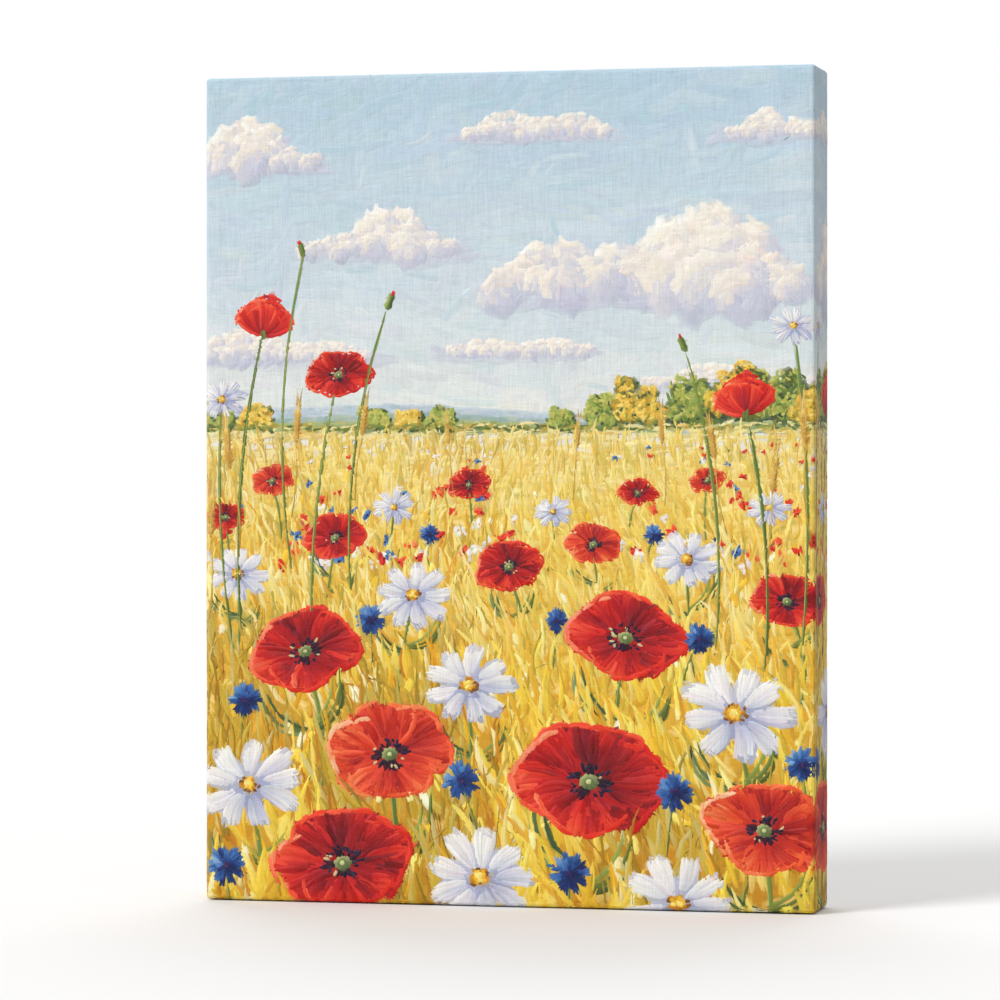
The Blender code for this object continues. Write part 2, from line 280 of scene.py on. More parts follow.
@one_motif
def paint_cloud(b, cx, cy, w, h, seed):
    """A heap of soft puffs on a flat base, lit from the upper left."""
    r = np.random.default_rng(seed)
    balls = []
    x = -w / 2
    while x < w / 2:
        u = min(max(x / w + .5, .03), .97)
        env = h * math.sin(math.pi * u) ** .7 * (.74 + .26 * math.sin(seed + 8.5 * u))
        rad = max(h * .22, env * r.uniform(.38, .52), 3.6)
        y = env - rad
        while y > -rad * .3:
            balls.append((cx + x + r.normal(0, rad * .2), cy + y, rad * r.uniform(.85, 1.12)))
            y -= rad * r.uniform(.7, .95)
        balls.append((cx + x, cy + rad * .25, rad * .9))
        x += rad * r.uniform(.75, 1.05)
    balls.sort(key=lambda v: -v[1])
    # base that fades into the sky
    for _ in range(int(w * .7)):
        x = cx + w * r.uniform(-.56, .56)
        y = cy + h * r.uniform(-.16, .10)
        b.mid(x, y, math.radians(r.normal(2, 8)), r.uniform(10, 24), r.uniform(3, 6.5),
              mix(rgb(204, 206, 220), sky_colour(x, y), r.uniform(.1, .7)), bend=r.normal(0, .05), relief=.03, streak=2.5, soft=.95)
    for x, y, rad in balls:
        low = (y - cy) / h
        # body of the puff, wide and soft
        for _ in range(int(3 + rad * .4)):
            th, rho = r.uniform(0, 2 * math.pi), math.sqrt(r.random()) * .7
            lit = .8 * rho * (math.cos(th) * LIGHT[0] + math.sin(th) * LIGHT[1]) + (low - .40) * .9 - .10
            b.mid(x + rho * rad * math.cos(th), y + rho * rad * math.sin(th), th + math.pi / 2 + r.normal(0, .3), rad * r.uniform(.9, 1.4),
                  max(rad * r.uniform(.45, .7), 2), jitter(ramp(lit, CLOUD), 1.5, 1), relief=.04, streak=2.5, lead=.8, tail=.8, soft=.8)
        marks = []
        for _ in range(int(5 + rad * 1.7)):
            th, rho = r.uniform(-.35, math.pi + .35), math.sqrt(r.uniform(.02, 1)) * .97
            marks.append((rho * (math.cos(th) * LIGHT[0] + math.sin(th) * LIGHT[1]), th, rho))
        marks.sort()
        for lit, th, rho in marks:
            lit = lit * 1.05 + (low - .40) * .9 + .05 + r.normal(0, .10)
            c = jitter(ramp(lit, CLOUD), 1.6, 1.2)
            if r.random() < .14:
                c = mix(c, rgb(247, 220, 200), .30)
            side = 1 if r.random() < .5 else -1
            ang = th + side * math.pi / 2 + r.normal(0, .3)
            b.mid(x + rho * rad * math.cos(th), y + rho * rad * math.sin(th), ang, max(rad * r.uniform(.5, .95), 3.4),
                  max(rad * r.uniform(.22, .38), 1.9), c, jitter(c, 1.5, 1), bend=side * .15 * rho, relief=.075 * r.uniform(.5, 1.5), streak=3.5, lead=.7, tail=.6)


def paint_clouds(b):
    paint_cloud(b, 112, 50, 84, 12, 11)
    paint_cloud(b, -116, 64, 96, 18, 12)
    paint_cloud(b, 8, 66, 70, 11, 13)
    paint_cloud(b, 74, 96, 150, 50, 14)
    paint_cloud(b, -62, 116, 78, 25, 15)
    paint_cloud(b, -132, 160, 76, 24, 16)
    paint_cloud(b, 16, 172, 70, 18, 19)
    paint_cloud(b, 138, 170, 54, 15, 18)


def paint_hills(b):
    for base, amp, colours in (
            (7.5, 3.0, (rgb(190, 204, 214), rgb(198, 208, 214), rgb(182, 198, 208))),
            (4.4, 2.4, (rgb(164, 184, 178), rgb(176, 192, 172), rgb(152, 174, 166))),
            (2.2, 1.6, (rgb(168, 180, 120), rgb(142, 162, 108), rgb(190, 190, 120)))):
        for x in np.arange(-A - 8, A + 8, 3.6):
            top = base + amp * drift_b(x * .5, base * 9)
            for y in np.arange(top, -2, -2.0):
                c = colours[rng.integers(3)]
                b.mid(x + rng.uniform(-2, 2), HORIZON + y, math.radians(rng.normal(0, 7)), rng.uniform(7, 14), rng.uniform(2.2, 3.6),
                      jitter(c, 2.5, 1.5), relief=.035, streak=3, soft=.6)


@one_motif
def paint_tree(b, cx, base, rx, rz, seed, warm):
    r = np.random.default_rng(seed)
    dark = (rgb(64, 84, 46), rgb(78, 96, 50), rgb(54, 74, 56), rgb(86, 92, 44))
    mids = ((rgb(112, 132, 54), rgb(134, 146, 60), rgb(96, 122, 60)) if not warm else
            (rgb(178, 146, 48), rgb(196, 160, 52), rgb(140, 138, 54)))
    lits = ((rgb(172, 178, 84), rgb(198, 194, 98), rgb(152, 168, 82)) if not warm else
            (rgb(238, 198, 80), rgb(248, 216, 110), rgb(226, 178, 64)))
    lobes = [(cx + rx * r.uniform(-.7, .7), base + rz * r.uniform(.35, 1.4), rx * r.uniform(.34, .56)) for _ in range(9)]
    lobes += [(cx + rx * u, base + rz * .45, rx * .42) for u in (-.6, 0, .6)]
    lobes.sort(key=lambda v: -v[1])
    b.add(cx, base - 1, math.pi / 2, rz * .9, 1.8, rgb(84, 66, 46), relief=.05)
    for x, y, rad in lobes:
        for _ in range(int(4 + rad * .6)):
            th, rho = r.uniform(0, 2 * math.pi), math.sqrt(r.random()) * .7
            b.mid(x + rad * rho * math.cos(th), y + rad * rho * math.sin(th), r.uniform(0, math.pi), rad * r.uniform(.7, 1.1), rad * r.uniform(.45, .7),
                  jitter(mix(dark[r.integers(4)], mids[r.integers(3)], r.uniform(0, .5)), 4, 3), relief=.05, streak=5, lead=.8, tail=.8, soft=.55)
    for x, y, rad in lobes:
        for kind, count in ((dark, 7), (mids, 13), (lits, 13)):
            for _ in range(int(count * (0.5 + rad / 9))):
                th, rho = r.uniform(0, 2 * math.pi), math.sqrt(r.random())
                dx, dy = rho * math.cos(th), rho * math.sin(th)
                if kind is not dark:
                    push = .14 if kind is mids else .34
                    dx, dy = dx * .74 + LIGHT[0] * push, dy * .74 + LIGHT[1] * push
                else:
                    dx, dy = dx * .9 - LIGHT[0] * .2, dy * .9 - LIGHT[1] * .2
                b.mid(x + rad * dx, y + rad * dy, th + math.pi / 2 + r.normal(0, .6), r.uniform(1.8, 3.8), r.uniform(1.1, 2.0),
                      jitter(kind[r.integers(3)], 6, 3), relief=.08 * r.uniform(.5, 1.5), streak=5, lead=.8, tail=.5, soft=.3)


def paint_trees(b):
    for x, rx, rz, seed, warm in (
            (-148, 12, 10, 31, False), (-126, 9, 7, 32, True), (-66, 9, 6, 33, False), (-48, 7, 5, 34, True),
            (-32, 8, 6, 35, False), (28, 8, 5, 42, False), (50, 11, 10, 36, False), (68, 14, 16, 37, True), (94, 15, 15, 38, False),
            (114, 15, 21, 39, True), (136, 16, 19, 40, False), (152, 12, 14, 41, True)):
        paint_tree(b, x, HORIZON - 1, rx, rz, seed, warm)
    for x in np.arange(-A - 6, A + 6, 3.6):
        tall = 1.0 + 1.6 * max(0, drift_b(x, 50))
        for _ in range(2):
            c = (rgb(110, 126, 58), rgb(140, 144, 64), rgb(84, 106, 60), rgb(186, 166, 74))[rng.integers(4)]
            b.mid(x + rng.uniform(-2, 2), HORIZON + rng.uniform(-1.5, tall), math.radians(rng.normal(0, 25)),
                  rng.uniform(3.5, 6.5), rng.uniform(1.4, 2.4), jitter(c, 5, 3), relief=.07, streak=5)


def paint_field(b):
    y = HORIZON
    while y > -B - 6:
        t = (HORIZON - y) / (HORIZON + B)
        step = 2.4 + 7 * t
        for x in np.arange(-A - 10, A + 10, 6.5 + 9 * t):
            xx, yy = x + rng.uniform(-4, 4), y + rng.uniform(-1, 1) * step * .5
            c = field_colour(xx, yy)
            u = rng.random()
            if u < .20:
                c = mix(c, rgb(255, 242, 186), .45)
            elif u < .34:
                c = mix(c, rgb(224, 160, 44), .45)
            elif u < .42:
                c = mix(c, rgb(170, 156, 70), .40)
            ang = math.radians(rng.normal(2, 6 + 40 * t) + 8 * drift_a(xx, yy))
            b.mid(xx, yy, ang, rng.uniform(8, 16) * (1 + .7 * t), (1.9 + 4.4 * t) * rng.uniform(.8, 1.3), jitter(c, 4, 2.5),
                  bend=rng.normal(0, .06), relief=.06, streak=5, tail=.6, soft=.6)
        y -= step


# ---- growing things, painted from the back of the meadow to the front
GRASS_FAR = (rgb(250, 232, 158), rgb(244, 216, 122), rgb(236, 198, 88), rgb(254, 242, 186), rgb(222, 184, 78), rgb(206, 186, 100))
GRASS_MID = (rgb(251, 226, 122), rgb(246, 212, 94), rgb(254, 241, 172), rgb(236, 190, 72), rgb(224, 168, 54), rgb(252, 232, 142), rgb(196, 172, 74))
GRASS_NEAR = (rgb(249, 214, 74), rgb(243, 198, 50), rgb(255, 238, 140), rgb(236, 176, 34), rgb(253, 228, 104), rgb(222, 150, 26), rgb(196, 122, 22),
              rgb(247, 207, 60), rgb(186, 154, 44), rgb(146, 128, 42), rgb(255, 246, 190))
heads = []          # round areas that nearer grass keeps clear of


def paint_grass_row(b, y, t):
    length = 9 + 25 * t
    width = 1.25 + 2.0 * t
    colours = GRASS_FAR if t < .18 else GRASS_MID if t < .5 else GRASS_NEAR
    for x in np.arange(-A - 8, A + 8, 1.9 + 2.1 * t):
        xx, yy = x + rng.uniform(-2, 2), y + rng.uniform(-3, 3)
        lean = 90 + 12 * drift_a(xx, yy) + rng.normal(0, 9 + 8 * t)
        ang, ln = math.radians(lean), length * rng.uniform(.55, 1.25)
        tip = (xx + math.cos(ang) * ln, yy + math.sin(ang) * ln)
        mid = (xx + math.cos(ang) * ln * .55, yy + math.sin(ang) * ln * .55)
        if any((tip[0] - hx) ** 2 + (tip[1] - hy) ** 2 < (hr * 1.02) ** 2 or (mid[0] - hx) ** 2 + (mid[1] - hy) ** 2 < (hr * .95) ** 2
               for hx, hy, hr in heads) and rng.random() < .975:
            continue
        patch = drift_b(xx * .8, yy * .8)
        c = colours[rng.integers(len(colours))]
        if patch > .45 and t > .45:
            c = mix(c, rgb(138, 112, 34), .40)
        elif patch < -.1:
            c = mix(c, rgb(253, 226, 110 if t < .5 else 88), .40)
        c0 = mix(c, rgb(200, 140, 30), .28 + .12 * t)
        wide = width * rng.uniform(.55, 1.35)
        if sum(c) < 420 and t > .3:
            wide *= .6
        b.add(xx, yy, ang, ln, wide, jitter(c0, 4, 3), jitter(c, 6, 3), bend=rng.normal(0, .11),
              relief=.10 * rng.uniform(.5, 1.6), streak=7, lead=.6, tail=.22, ease=.8)
    # thick dabs of the knife
    if t > .12:
        for _ in range(int(3 + 5 * t)):
            xx, yy = rng.uniform(-A, A), y + rng.uniform(0, 16)
            if any((xx - hx) ** 2 + (yy - hy) ** 2 < (hr + 6) ** 2 for hx, hy, hr in heads):
                continue
            c = (rgb(255, 248, 212), rgb(254, 238, 164), rgb(253, 228, 112), rgb(251, 216, 78), rgb(243, 194, 48))[rng.integers(5)]
            b.mid(xx, yy, math.radians(90 + rng.normal(0, 30)), rng.uniform(5, 9) * (.5 + t), rng.uniform(2.4, 4.2) * (.5 + t), jitter(c, 3, 2),
                  jitter(c, 5, 3), bend=rng.normal(0, .06), relief=.15, streak=6, lead=.85, tail=.6, soft=.25)


def paint_ear(b, x, y, ang, size):
    """A wheat ear on its stem."""
    stem = size * 2.6
    sx, sy = x - math.cos(ang) * stem, y - math.sin(ang) * stem
    b.add(sx, sy, ang, stem, size * .055, rgb(170, 134, 48), rgb(226, 186, 84), bend=rng.normal(0, .04), relief=.1, streak=5, tail=.8)
    for side in (-1, 1):
        for i in range(7):
            u = i / 7
            px, py = x + math.cos(ang) * size * u, y + math.sin(ang) * size * u
            lit = .5 + .5 * (math.cos(ang + side * math.pi / 2) * LIGHT[0] + math.sin(ang + side * math.pi / 2) * LIGHT[1])
            c = mix(rgb(176, 120, 34), rgb(252, 220, 122), lit * .8 + rng.uniform(-.15, .2))
            b.add(px, py, ang - side * .10, size * 1.05, size * .025, mix(c, rgb(250, 226, 150), .4), relief=.05, streak=2, lead=.6, tail=.2, bend=side * .04)
            b.add(px, py, ang + side * .48, size * .30, size * .125, mix(c, rgb(140, 92, 30), .35), c, bend=-side * .18, relief=.16, streak=7, lead=.4, tail=.25)
    b.add(x + math.cos(ang) * size * .92, y + math.sin(ang) * size * .92, ang, size * .3, size * .12, rgb(214, 166, 62), rgb(250, 220, 126), relief=.14, tail=.2)


def paint_stem(b, x, y, x1, y1, width, bend, tone=0.0):
    ang, ln = math.atan2(y - y1, x - x1), math.hypot(x - x1, y - y1)
    c = mix(rgb(88, 116, 50), rgb(140, 152, 66), rng.uniform(0, .7) + tone)
    b.add(x1, y1, ang, ln, width, mix(c, rgb(60, 74, 34), .4), c, bend=bend, relief=.13, streak=8, lead=.8, tail=.9)
    n = (-math.sin(ang), math.cos(ang))
    s = 1 if n[0] * LIGHT[0] + n[1] * LIGHT[1] > 0 else -1
    off = width * .26 * s
    b.add(x1 + n[0] * off, y1 + n[1] * off, ang, ln * .96, width * .34, mix(c, rgb(206, 206, 120), .55), bend=bend, relief=.18, streak=4, lead=.6, tail=.5)


def paint_leaf(b, x, y, ang, length, width, bend, cool=False):
    dark = rgb(54, 84, 50) if cool else rgb(66, 88, 38)
    light = rgb(136, 160, 104) if cool else rgb(150, 162, 70)
    for k, c in ((-.30, dark), (.0, mix(dark, light, .45)), (.28, light)):
        n = (-math.sin(ang) * width * k, math.cos(ang) * width * k)
        b.add(x + n[0], y + n[1], ang + k * .12, length * (1 - abs(k) * .3), width * .5, mix(c, dark, .3), jitter(c, 5, 3), bend=bend + k * .16,
              relief=.13, streak=8, lead=.3, tail=.08)


RED = [(-1.0, rgb(104, 10, 24)), (-.45, rgb(152, 16, 26)), (0.0, rgb(206, 28, 26)), (.45, rgb(232, 52, 32)),
       (.85, rgb(246, 96, 58)), (1.15, rgb(252, 150, 112))]
CORAL = [(-1.0, rgb(140, 20, 24)), (-.45, rgb(186, 36, 28)), (0.0, rgb(226, 62, 34)), (.45, rgb(242, 92, 48)),
         (.85, rgb(250, 138, 84)), (1.15, rgb(255, 190, 146))]
WHITE = [(-1.0, rgb(150, 156, 190)), (-.45, rgb(186, 190, 214)), (0.0, rgb(218, 217, 226)), (.45, rgb(240, 235, 228)),
         (.85, rgb(251, 247, 238)), (1.15, rgb(255, 253, 248))]
BLUE = [(-1.0, rgb(18, 30, 78)), (-.4, rgb(24, 52, 112)), (0.0, rgb(36, 82, 150)), (.5, rgb(74, 124, 190)), (1.1, rgb(150, 186, 226))]


class Bloom:
    """Local polar coordinates of a flower that faces partly up and sideways."""

    def __init__(self, x, y, size, squash, turn):
        self.x, self.y, self.size, self.squash, self.turn = x, y, size, squash, turn

    def at(self, ang, rho):
        u, v = rho * math.cos(ang) * self.size, rho * math.sin(ang) * self.size * self.squash
        c, s = math.cos(self.turn), math.sin(self.turn)
        return self.x + u * c - v * s, self.y + u * s + v * c

    def line(self, b, a0, r0, a1, r1, width, c0, c1=None, **k):
        x0, y0 = self.at(a0, r0)
        x1, y1 = self.at(a1, r1)
        b.add(x0, y0, math.atan2(y1 - y0, x1 - x0), math.hypot(x1 - x0, y1 - y0), width, c0, c1, **k)


@one_motif
def paint_poppy(b, x, y, size, squash, turn, seed, tones=RED):
    """An open poppy: back petals, side petals, front petal, dark heart."""
    r = np.random.default_rng(seed)
    f = Bloom(x, y, size, squash, turn)
    heads.append((x, y, size * .93))
    petals = [(math.radians(92 + r.normal(0, 6)), .98, 66), (math.radians(8 + r.normal(0, 8)), 1.0, 58),
              (math.radians(176 + r.normal(0, 8)), 1.0, 58), (math.radians(268 + r.normal(0, 8)), .86, 66)]
    w = size / 24
    for i, (axis, reach, spread) in enumerate(petals):
        half = math.radians(spread)
        wave, phase = r.uniform(.04, .09), r.uniform(0, 6)
        world = axis + turn
        face = math.cos(world) * LIGHT[0] + math.sin(world) * LIGHT[1]
        # a bowl: the petal away from the light is lit inside, the near one turns its shaded lip
        base_lit = (-.30, .02, .16, .34)[i] + .18 * face

        def rim(th):
            u = (th - axis) / half
            return reach * (1 - .16 * abs(u) ** 2.6 + wave * math.sin(5 * u + phase))
        n = int(15 + size * .45)
        # underpaint of the petal, wide and dark
        for k in range(n // 2 + 2):
            th = axis + half * (k / (n // 2 + 1) * 2 - 1)
            c = ramp(base_lit - .35 + r.normal(0, .08), tones)
            f.line(b, axis + (th - axis) * .55, .10, th, rim(th) * .99, size * .20, mix(c, tones[0][1], .35), c,
                   relief=.09, streak=9, lead=.5, tail=.65, bend=r.normal(0, .05))
        order = list(range(n))
        r.shuffle(order)
        for k in order:
            u = (k + .5) / n * 2 - 1
            th = axis + half * u * .96
            fold = .30 * math.sin(u * 4.2 + phase) + .20 * math.sin(u * 9 + phase * 2)
            lit = base_lit + fold + r.normal(0, .13)
            start = r.uniform(.20, .5)
            end = rim(th) * r.uniform(.90, 1.03)
            f.line(b, axis + (th - axis) * (.6 + .4 * start), start, th, end, size * r.uniform(.085, .15),
                   jitter(ramp(lit - .55, tones), 5, 3), jitter(ramp(lit + .12, tones), 6, 3),
                   bend=r.normal(0, .09), relief=.17 * r.uniform(.6, 1.6), streak=13, lead=.45, tail=.55, ease=1.3)
        # light along the lip
        for k in range(int(10 + size * .25)):
            u = r.uniform(-.9, .9)
            th = axis + half * u
            away = math.cos(world + half * u) * LIGHT[0] + math.sin(world + half * u) * LIGHT[1]
            lit = base_lit + .55 + .35 * away + r.normal(0, .1)
            lit = max(lit, base_lit - .1)
            x0, y0 = f.at(th, rim(th) * .95)
            x1, y1 = f.at(th + .12, rim(th + .12) * .95)
            b.mid(x0, y0, math.atan2(y1 - y0, x1 - x0) + r.normal(0, .12), size * r.uniform(.16, .34), size * r.uniform(.05, .085),
                  jitter(ramp(lit, tones), 5, 3), relief=.24 * r.uniform(.7, 1.4), streak=10, lead=.4, tail=.25, bend=-.10)
        # dark blotch at the petal's foot
        for k in range(5):
            th = axis + half * r.uniform(-.42, .42)
            f.line(b, th, .07, th, r.uniform(.24, .36), size * r.uniform(.06, .10), rgb(26, 14, 34), mix(rgb(52, 12, 34), tones[0][1], .4),
                   relief=.12, streak=6, tail=.25)
    # heart
    for k in range(int(20 + size * .5)):
        th, rho = r.uniform(0, 2 * math.pi), r.uniform(.13, .27)
        f.line(b, th, rho, th + r.normal(0, .12), rho + r.uniform(.06, .11), 1.05 * w + .25,
               (rgb(22, 16, 40), rgb(38, 26, 58), rgb(58, 40, 66), rgb(214, 196, 140))[r.choice(4, p=[.4, .3, .18, .12])],
               relief=.26, streak=4, lead=.8, tail=.6)
    for k in range(9):
        th = k / 9 * 2 * math.pi
        f.line(b, th, .02, th, .135, 1.8 * w + .3, rgb(88, 104, 62), jitter(ramp(.5 + .5 * math.cos(th + turn - 2.2), [
            (0, rgb(96, 112, 62)), (1, rgb(196, 204, 134))]), 4, 2), relief=.3, streak=4, lead=.7, tail=.6)
    f.line(b, 2.2, .05, 5.3, .03, 1.6 * w + .3, rgb(214, 218, 150), relief=.36, streak=3)


@one_motif
def paint_cup(b, x, y, size, turn, seed, tones=RED):
    """A poppy seen from the side, its bowl open upwards."""
    r = np.random.default_rng(seed)
    heads.append((x, y + size * .25, size * .8))
    foot = (x + math.sin(turn) * size * .55, y - math.cos(turn) * size * .55)
    for layer, (lo, hi, reach, lit0) in enumerate(((52, 128, 1.34, -.45), (20, 96, 1.22, .05), (84, 160, 1.22, .34), (48, 132, 1.02, .12))):
        n = int(12 + size * .5)
        ph = r.uniform(0, 6)
        order = list(range(n))
        r.shuffle(order)
        for k in order:
            u = (k + .5) / n
            a = math.radians(lo + (hi - lo) * u) + turn
            ln = size * reach * (1 - .20 * abs(2 * u - 1) ** 2.4 + .05 * math.sin(9 * u + ph))
            lit = lit0 + .28 * math.sin(u * 7 + ph) + .25 * (math.cos(a) * LIGHT[0]) + r.normal(0, .1)
            b.add(*foot, a, ln * r.uniform(.9, 1.03), size * r.uniform(.12, .19), jitter(ramp(lit - .5, tones), 5, 3), jitter(ramp(lit + .25, tones), 6, 3),
                  bend=(.5 - u) * -.22, relief=.13 * r.uniform(.6, 1.5), streak=11, lead=.3, tail=.85, ease=1.2)
        for k in range(9):
            u = (k + r.uniform(.1, .9)) / 9
            a = math.radians(lo + (hi - lo) * u) + turn
            ln = size * reach * .93 * (1 - .20 * abs(2 * u - 1) ** 2.4 + .05 * math.sin(9 * u + ph))
            b.mid(foot[0] + math.cos(a) * ln, foot[1] + math.sin(a) * ln, a + math.pi / 2, size * r.uniform(.2, .34), size * .11,
                  jitter(ramp(lit0 + r.uniform(.2, .8), tones), 5, 3), relief=.16, streak=8, bend=-.1, lead=.8, tail=.7)
    for k in range(5):
        b.mid(foot[0] + r.normal(0, size * .06), foot[1] + r.uniform(-.02, .10) * size, turn + r.normal(math.pi / 2, .5), size * .22, size * .10,
              jitter(rgb(104, 124, 58), 6, 3), relief=.2, streak=6)
    return foot


@one_motif
def paint_bud(b, x, y, size, ang, seed):
    r = np.random.default_rng(seed)
    heads.append((x, y, size * .9))
    for k in range(9):
        u = k / 8 * 2 - 1
        n = (-math.sin(ang), math.cos(ang))
        lit = u * (n[0] * LIGHT[0] + n[1] * LIGHT[1])
        c = ramp(lit, [(-1, rgb(58, 78, 38)), (0, rgb(104, 126, 56)), (1, rgb(176, 186, 104))])
        b.mid(x + n[0] * u * size * .30, y + n[1] * u * size * .30, ang, size * 1.5 * (1 - .35 * u * u), size * .22, jitter(c, 5, 3),
              bend=-u * .16, relief=.2, streak=8, lead=.3, tail=.15)
    for k in range(4):
        b.add(x + math.cos(ang) * size * .35, y + math.sin(ang) * size * .35, ang + r.normal(0, .22), size * .5, size * .14,
              ramp(-.2, RED), ramp(.5, RED), relief=.22, streak=8, tail=.3)


@one_motif
def paint_daisy(b, x, y, size, squash, turn, seed, tones=WHITE, petals=9, wide=.20):
    """A single open flower with broad separate petals and a gold eye."""
    r = np.random.default_rng(seed)
    f = Bloom(x, y, size, squash, turn)
    heads.append((x, y, size * .9))
    order = [(k + r.uniform(-.12, .12)) / petals * 2 * math.pi for k in range(petals)]
    order.sort(key=lambda a: -math.sin(a + turn))
    for th in order:
        world = th + turn
        lit0 = .22 + .30 * (math.cos(world) * LIGHT[0] + math.sin(world) * LIGHT[1]) + r.normal(0, .08)
        reach = r.uniform(.9, 1.04)
        bend = r.normal(0, .05)
        f.line(b, th, .12, th, reach * .99, size * (wide * 1.9), ramp(lit0 - 1.0, tones), ramp(lit0 - .55, tones), relief=.08, streak=5,
               lead=.3, tail=.7, bend=bend)
        lanes = 5 if size > 14 else 3
        for k in range(lanes):
            u = (k + .5) / lanes * 2 - 1
            side = -math.sin(world) * LIGHT[0] + math.cos(world) * LIGHT[1]
            lit = lit0 + .34 * u * side + r.normal(0, .09)
            spread = wide * 1.7 * u
            f.line(b, th + spread * .35, r.uniform(.16, .26), th + spread * .62, reach * (1 - .07 * abs(u)) * r.uniform(.93, 1.03), size * wide * r.uniform(.42, .6),
                   jitter(ramp(lit - .5, tones), 4, 3), jitter(ramp(lit + .3, tones), 3, 2), bend=bend + u * .07,
                   relief=.18 * r.uniform(.7, 1.5), streak=8, lead=.35, tail=.6, ease=.8)
    eye = .19
    for c, n, rr, rel in ((rgb(126, 76, 22), 14, eye, .14), (rgb(206, 140, 30), 16, eye * .8, .24), (rgb(244, 190, 58), 12, eye * .6, .34), (rgb(255, 226, 120), 5, eye * .36, .42)):
        for _ in range(n):
            th, rho = r.uniform(0, 2 * math.pi), rr * math.sqrt(r.random())
            px, py = f.at(th, rho)
            k = 0 if rr == eye else size * .035
            b.mid(px + LIGHT[0] * k, py + LIGHT[1] * k, r.uniform(0, math.pi), max(size * .10, 1.0), max(size * .065, .8), jitter(c, 8, 4), relief=rel, streak=5, lead=.8, tail=.7)


@one_motif
def paint_far_flower(b, x, y, size, tones, r):
    lit = r.uniform(-.3, .1)
    for k in range(5):
        a = r.uniform(0, math.pi * 2)
        b.mid(x + math.cos(a) * size * .35, y + math.sin(a) * size * .28, a + r.normal(0, .5), size * r.uniform(.7, 1.1), size * r.uniform(.4, .6),
              jitter(ramp(lit + .18 * k, tones), 6, 3), relief=.14 * r.uniform(.7, 1.5), streak=9, lead=.6, tail=.4)
    b.mid(x + size * .05, y - size * .1, r.uniform(0, 3), size * .35, size * .3, tones[0][1] if tones is not WHITE else rgb(224, 168, 52), relief=.2, streak=4)


@one_motif
def paint_cornflower(b, x, y, size, seed):
    """A ragged blue head of split florets."""
    r = np.random.default_rng(seed)
    heads.append((x, y, size * .85))
    for ring, (r0, r1, n) in enumerate(((.15, 1.0, 11), (.1, .8, 9), (.05, .5, 8))):
        for k in range(n):
            a = (k + r.uniform(-.25, .25)) / n * 2 * math.pi
            lit = .5 * (math.cos(a) * LIGHT[0] + math.sin(a) * LIGHT[1]) + r.normal(0, .25) - .35 * (ring == 2)
            for split in (-.16, .0, .16):
                b.add(x + math.cos(a) * size * r0, y + math.sin(a) * size * r0 * .85, a + split, size * (r1 - r0) * r.uniform(.8, 1.05), size * .17,
                      ramp(lit - .5, BLUE), jitter(ramp(lit + .15, BLUE), 6, 4), relief=.12 * r.uniform(.6, 1.5), streak=9, lead=.4, tail=.5)
    for _ in range(8):
        b.mid(x + r.normal(0, size * .12), y + r.normal(0, size * .12), r.uniform(0, 3), size * .18, size * .10, jitter(rgb(58, 30, 86), 8, 6), relief=.16, tail=.7)


# x, y, size, squash, turn (degrees), seed, kind
BLOOMS = [
    (-18, 2, 11, .72, 8, 101, "poppy"), (66, -2, 10, .7, -10, 102, "poppy"), (24, -11, 10, .8, 0, 103, "daisy"),
    (-118, 4, 11, .75, 12, 104, "coral"), (130, -9, 11, .8, 0, 105, "daisy"), (-56, -9, 11, .8, 6, 106, "daisy"),
    (100, 4, 9, .7, 14, 107, "coral"), (44, -27, 14, .78, -6, 108, "coral"), (-142, -14, 10, .74, 0, 126, "poppy"),
    (-86, -24, 16, .74, 10, 109, "poppy"), (2, -38, 17, .78, 4, 110, "poppy"), (90, -34, 18, .8, -8, 111, "daisy"),
    (-136, -42, 17, .82, 0, 112, "daisy"), (-46, -52, 20, .82, 6, 113, "daisy"), (139, -54, 18, .76, -12, 114, "poppy"),
    (60, -72, 29, .76, -8, 115, "poppy"), (-101, -80, 28, .78, 10, 116, "poppy"), (-18, -96, 24, .84, 0, 117, "daisy"),
    (114, -108, 29, .84, -6, 118, "daisy"), (-58, -130, 32, .80, 8, 119, "coral"), (-130, -146, 28, .86, 6, 120, "daisy"),
    (42, -142, 38, .78, -6, 121, "poppy"), (128, -164, 30, .80, -14, 122, "coral"), (-82, -184, 35, .80, 8, 123, "poppy"),
    (-12, -190, 30, .88, 0, 124, "daisy"), (86, -200, 28, .86, -4, 125, "daisy"),
    (26, -64, 7, 1, 0, 131, "blue"), (-68, -64, 8, 1, 0, 132, "blue"), (96, -72, 8, 1, 0, 133, "blue"), (-22, -142, 10, 1, 0, 134, "blue"),
    (84, -146, 10, 1, 0, 135, "blue"), (-132, -104, 9, 1, 0, 136, "blue"), (146, -132, 9, 1, 0, 137, "blue"), (-38, -22, 5.5, 1, 0, 138, "blue"),
    (74, -22, 5.5, 1, 0, 139, "blue"), (32, -186, 11, 1, 0, 140, "blue"), (-142, -186, 11, 1, 0, 141, "blue"),
]
TALL = [
    (-122, 84, 15, -.12, 141, "cup", -134, -70), (-84, 56, 17, .72, 142, "poppy", -98, -60), (-144, 44, 13, .8, 143, "daisy", -138, -80),
    (118, 44, 15, .14, 144, "cup", 128, -90), (142, 78, 12, .8, 145, "daisy", 146, -80), (88, 70, 6, 2.0, 146, "bud", 104, -80),
    (-58, 92, 6.5, 1.2, 147, "bud", -78, -50), (-103, 118, 5.5, 1.9, 148, "bud", -108, -40),
]


def paint_bloom(b, kind, x, y, size, squash, turn, seed):
    turn = math.radians(turn)
    if kind == "blue":
        paint_cornflower(b, x, y, size, seed)
    elif kind == "daisy":
        paint_daisy(b, x, y, size, squash, turn, seed)
    else:
        paint_poppy(b, x, y, size, squash, turn, seed, CORAL if kind == "coral" else RED)


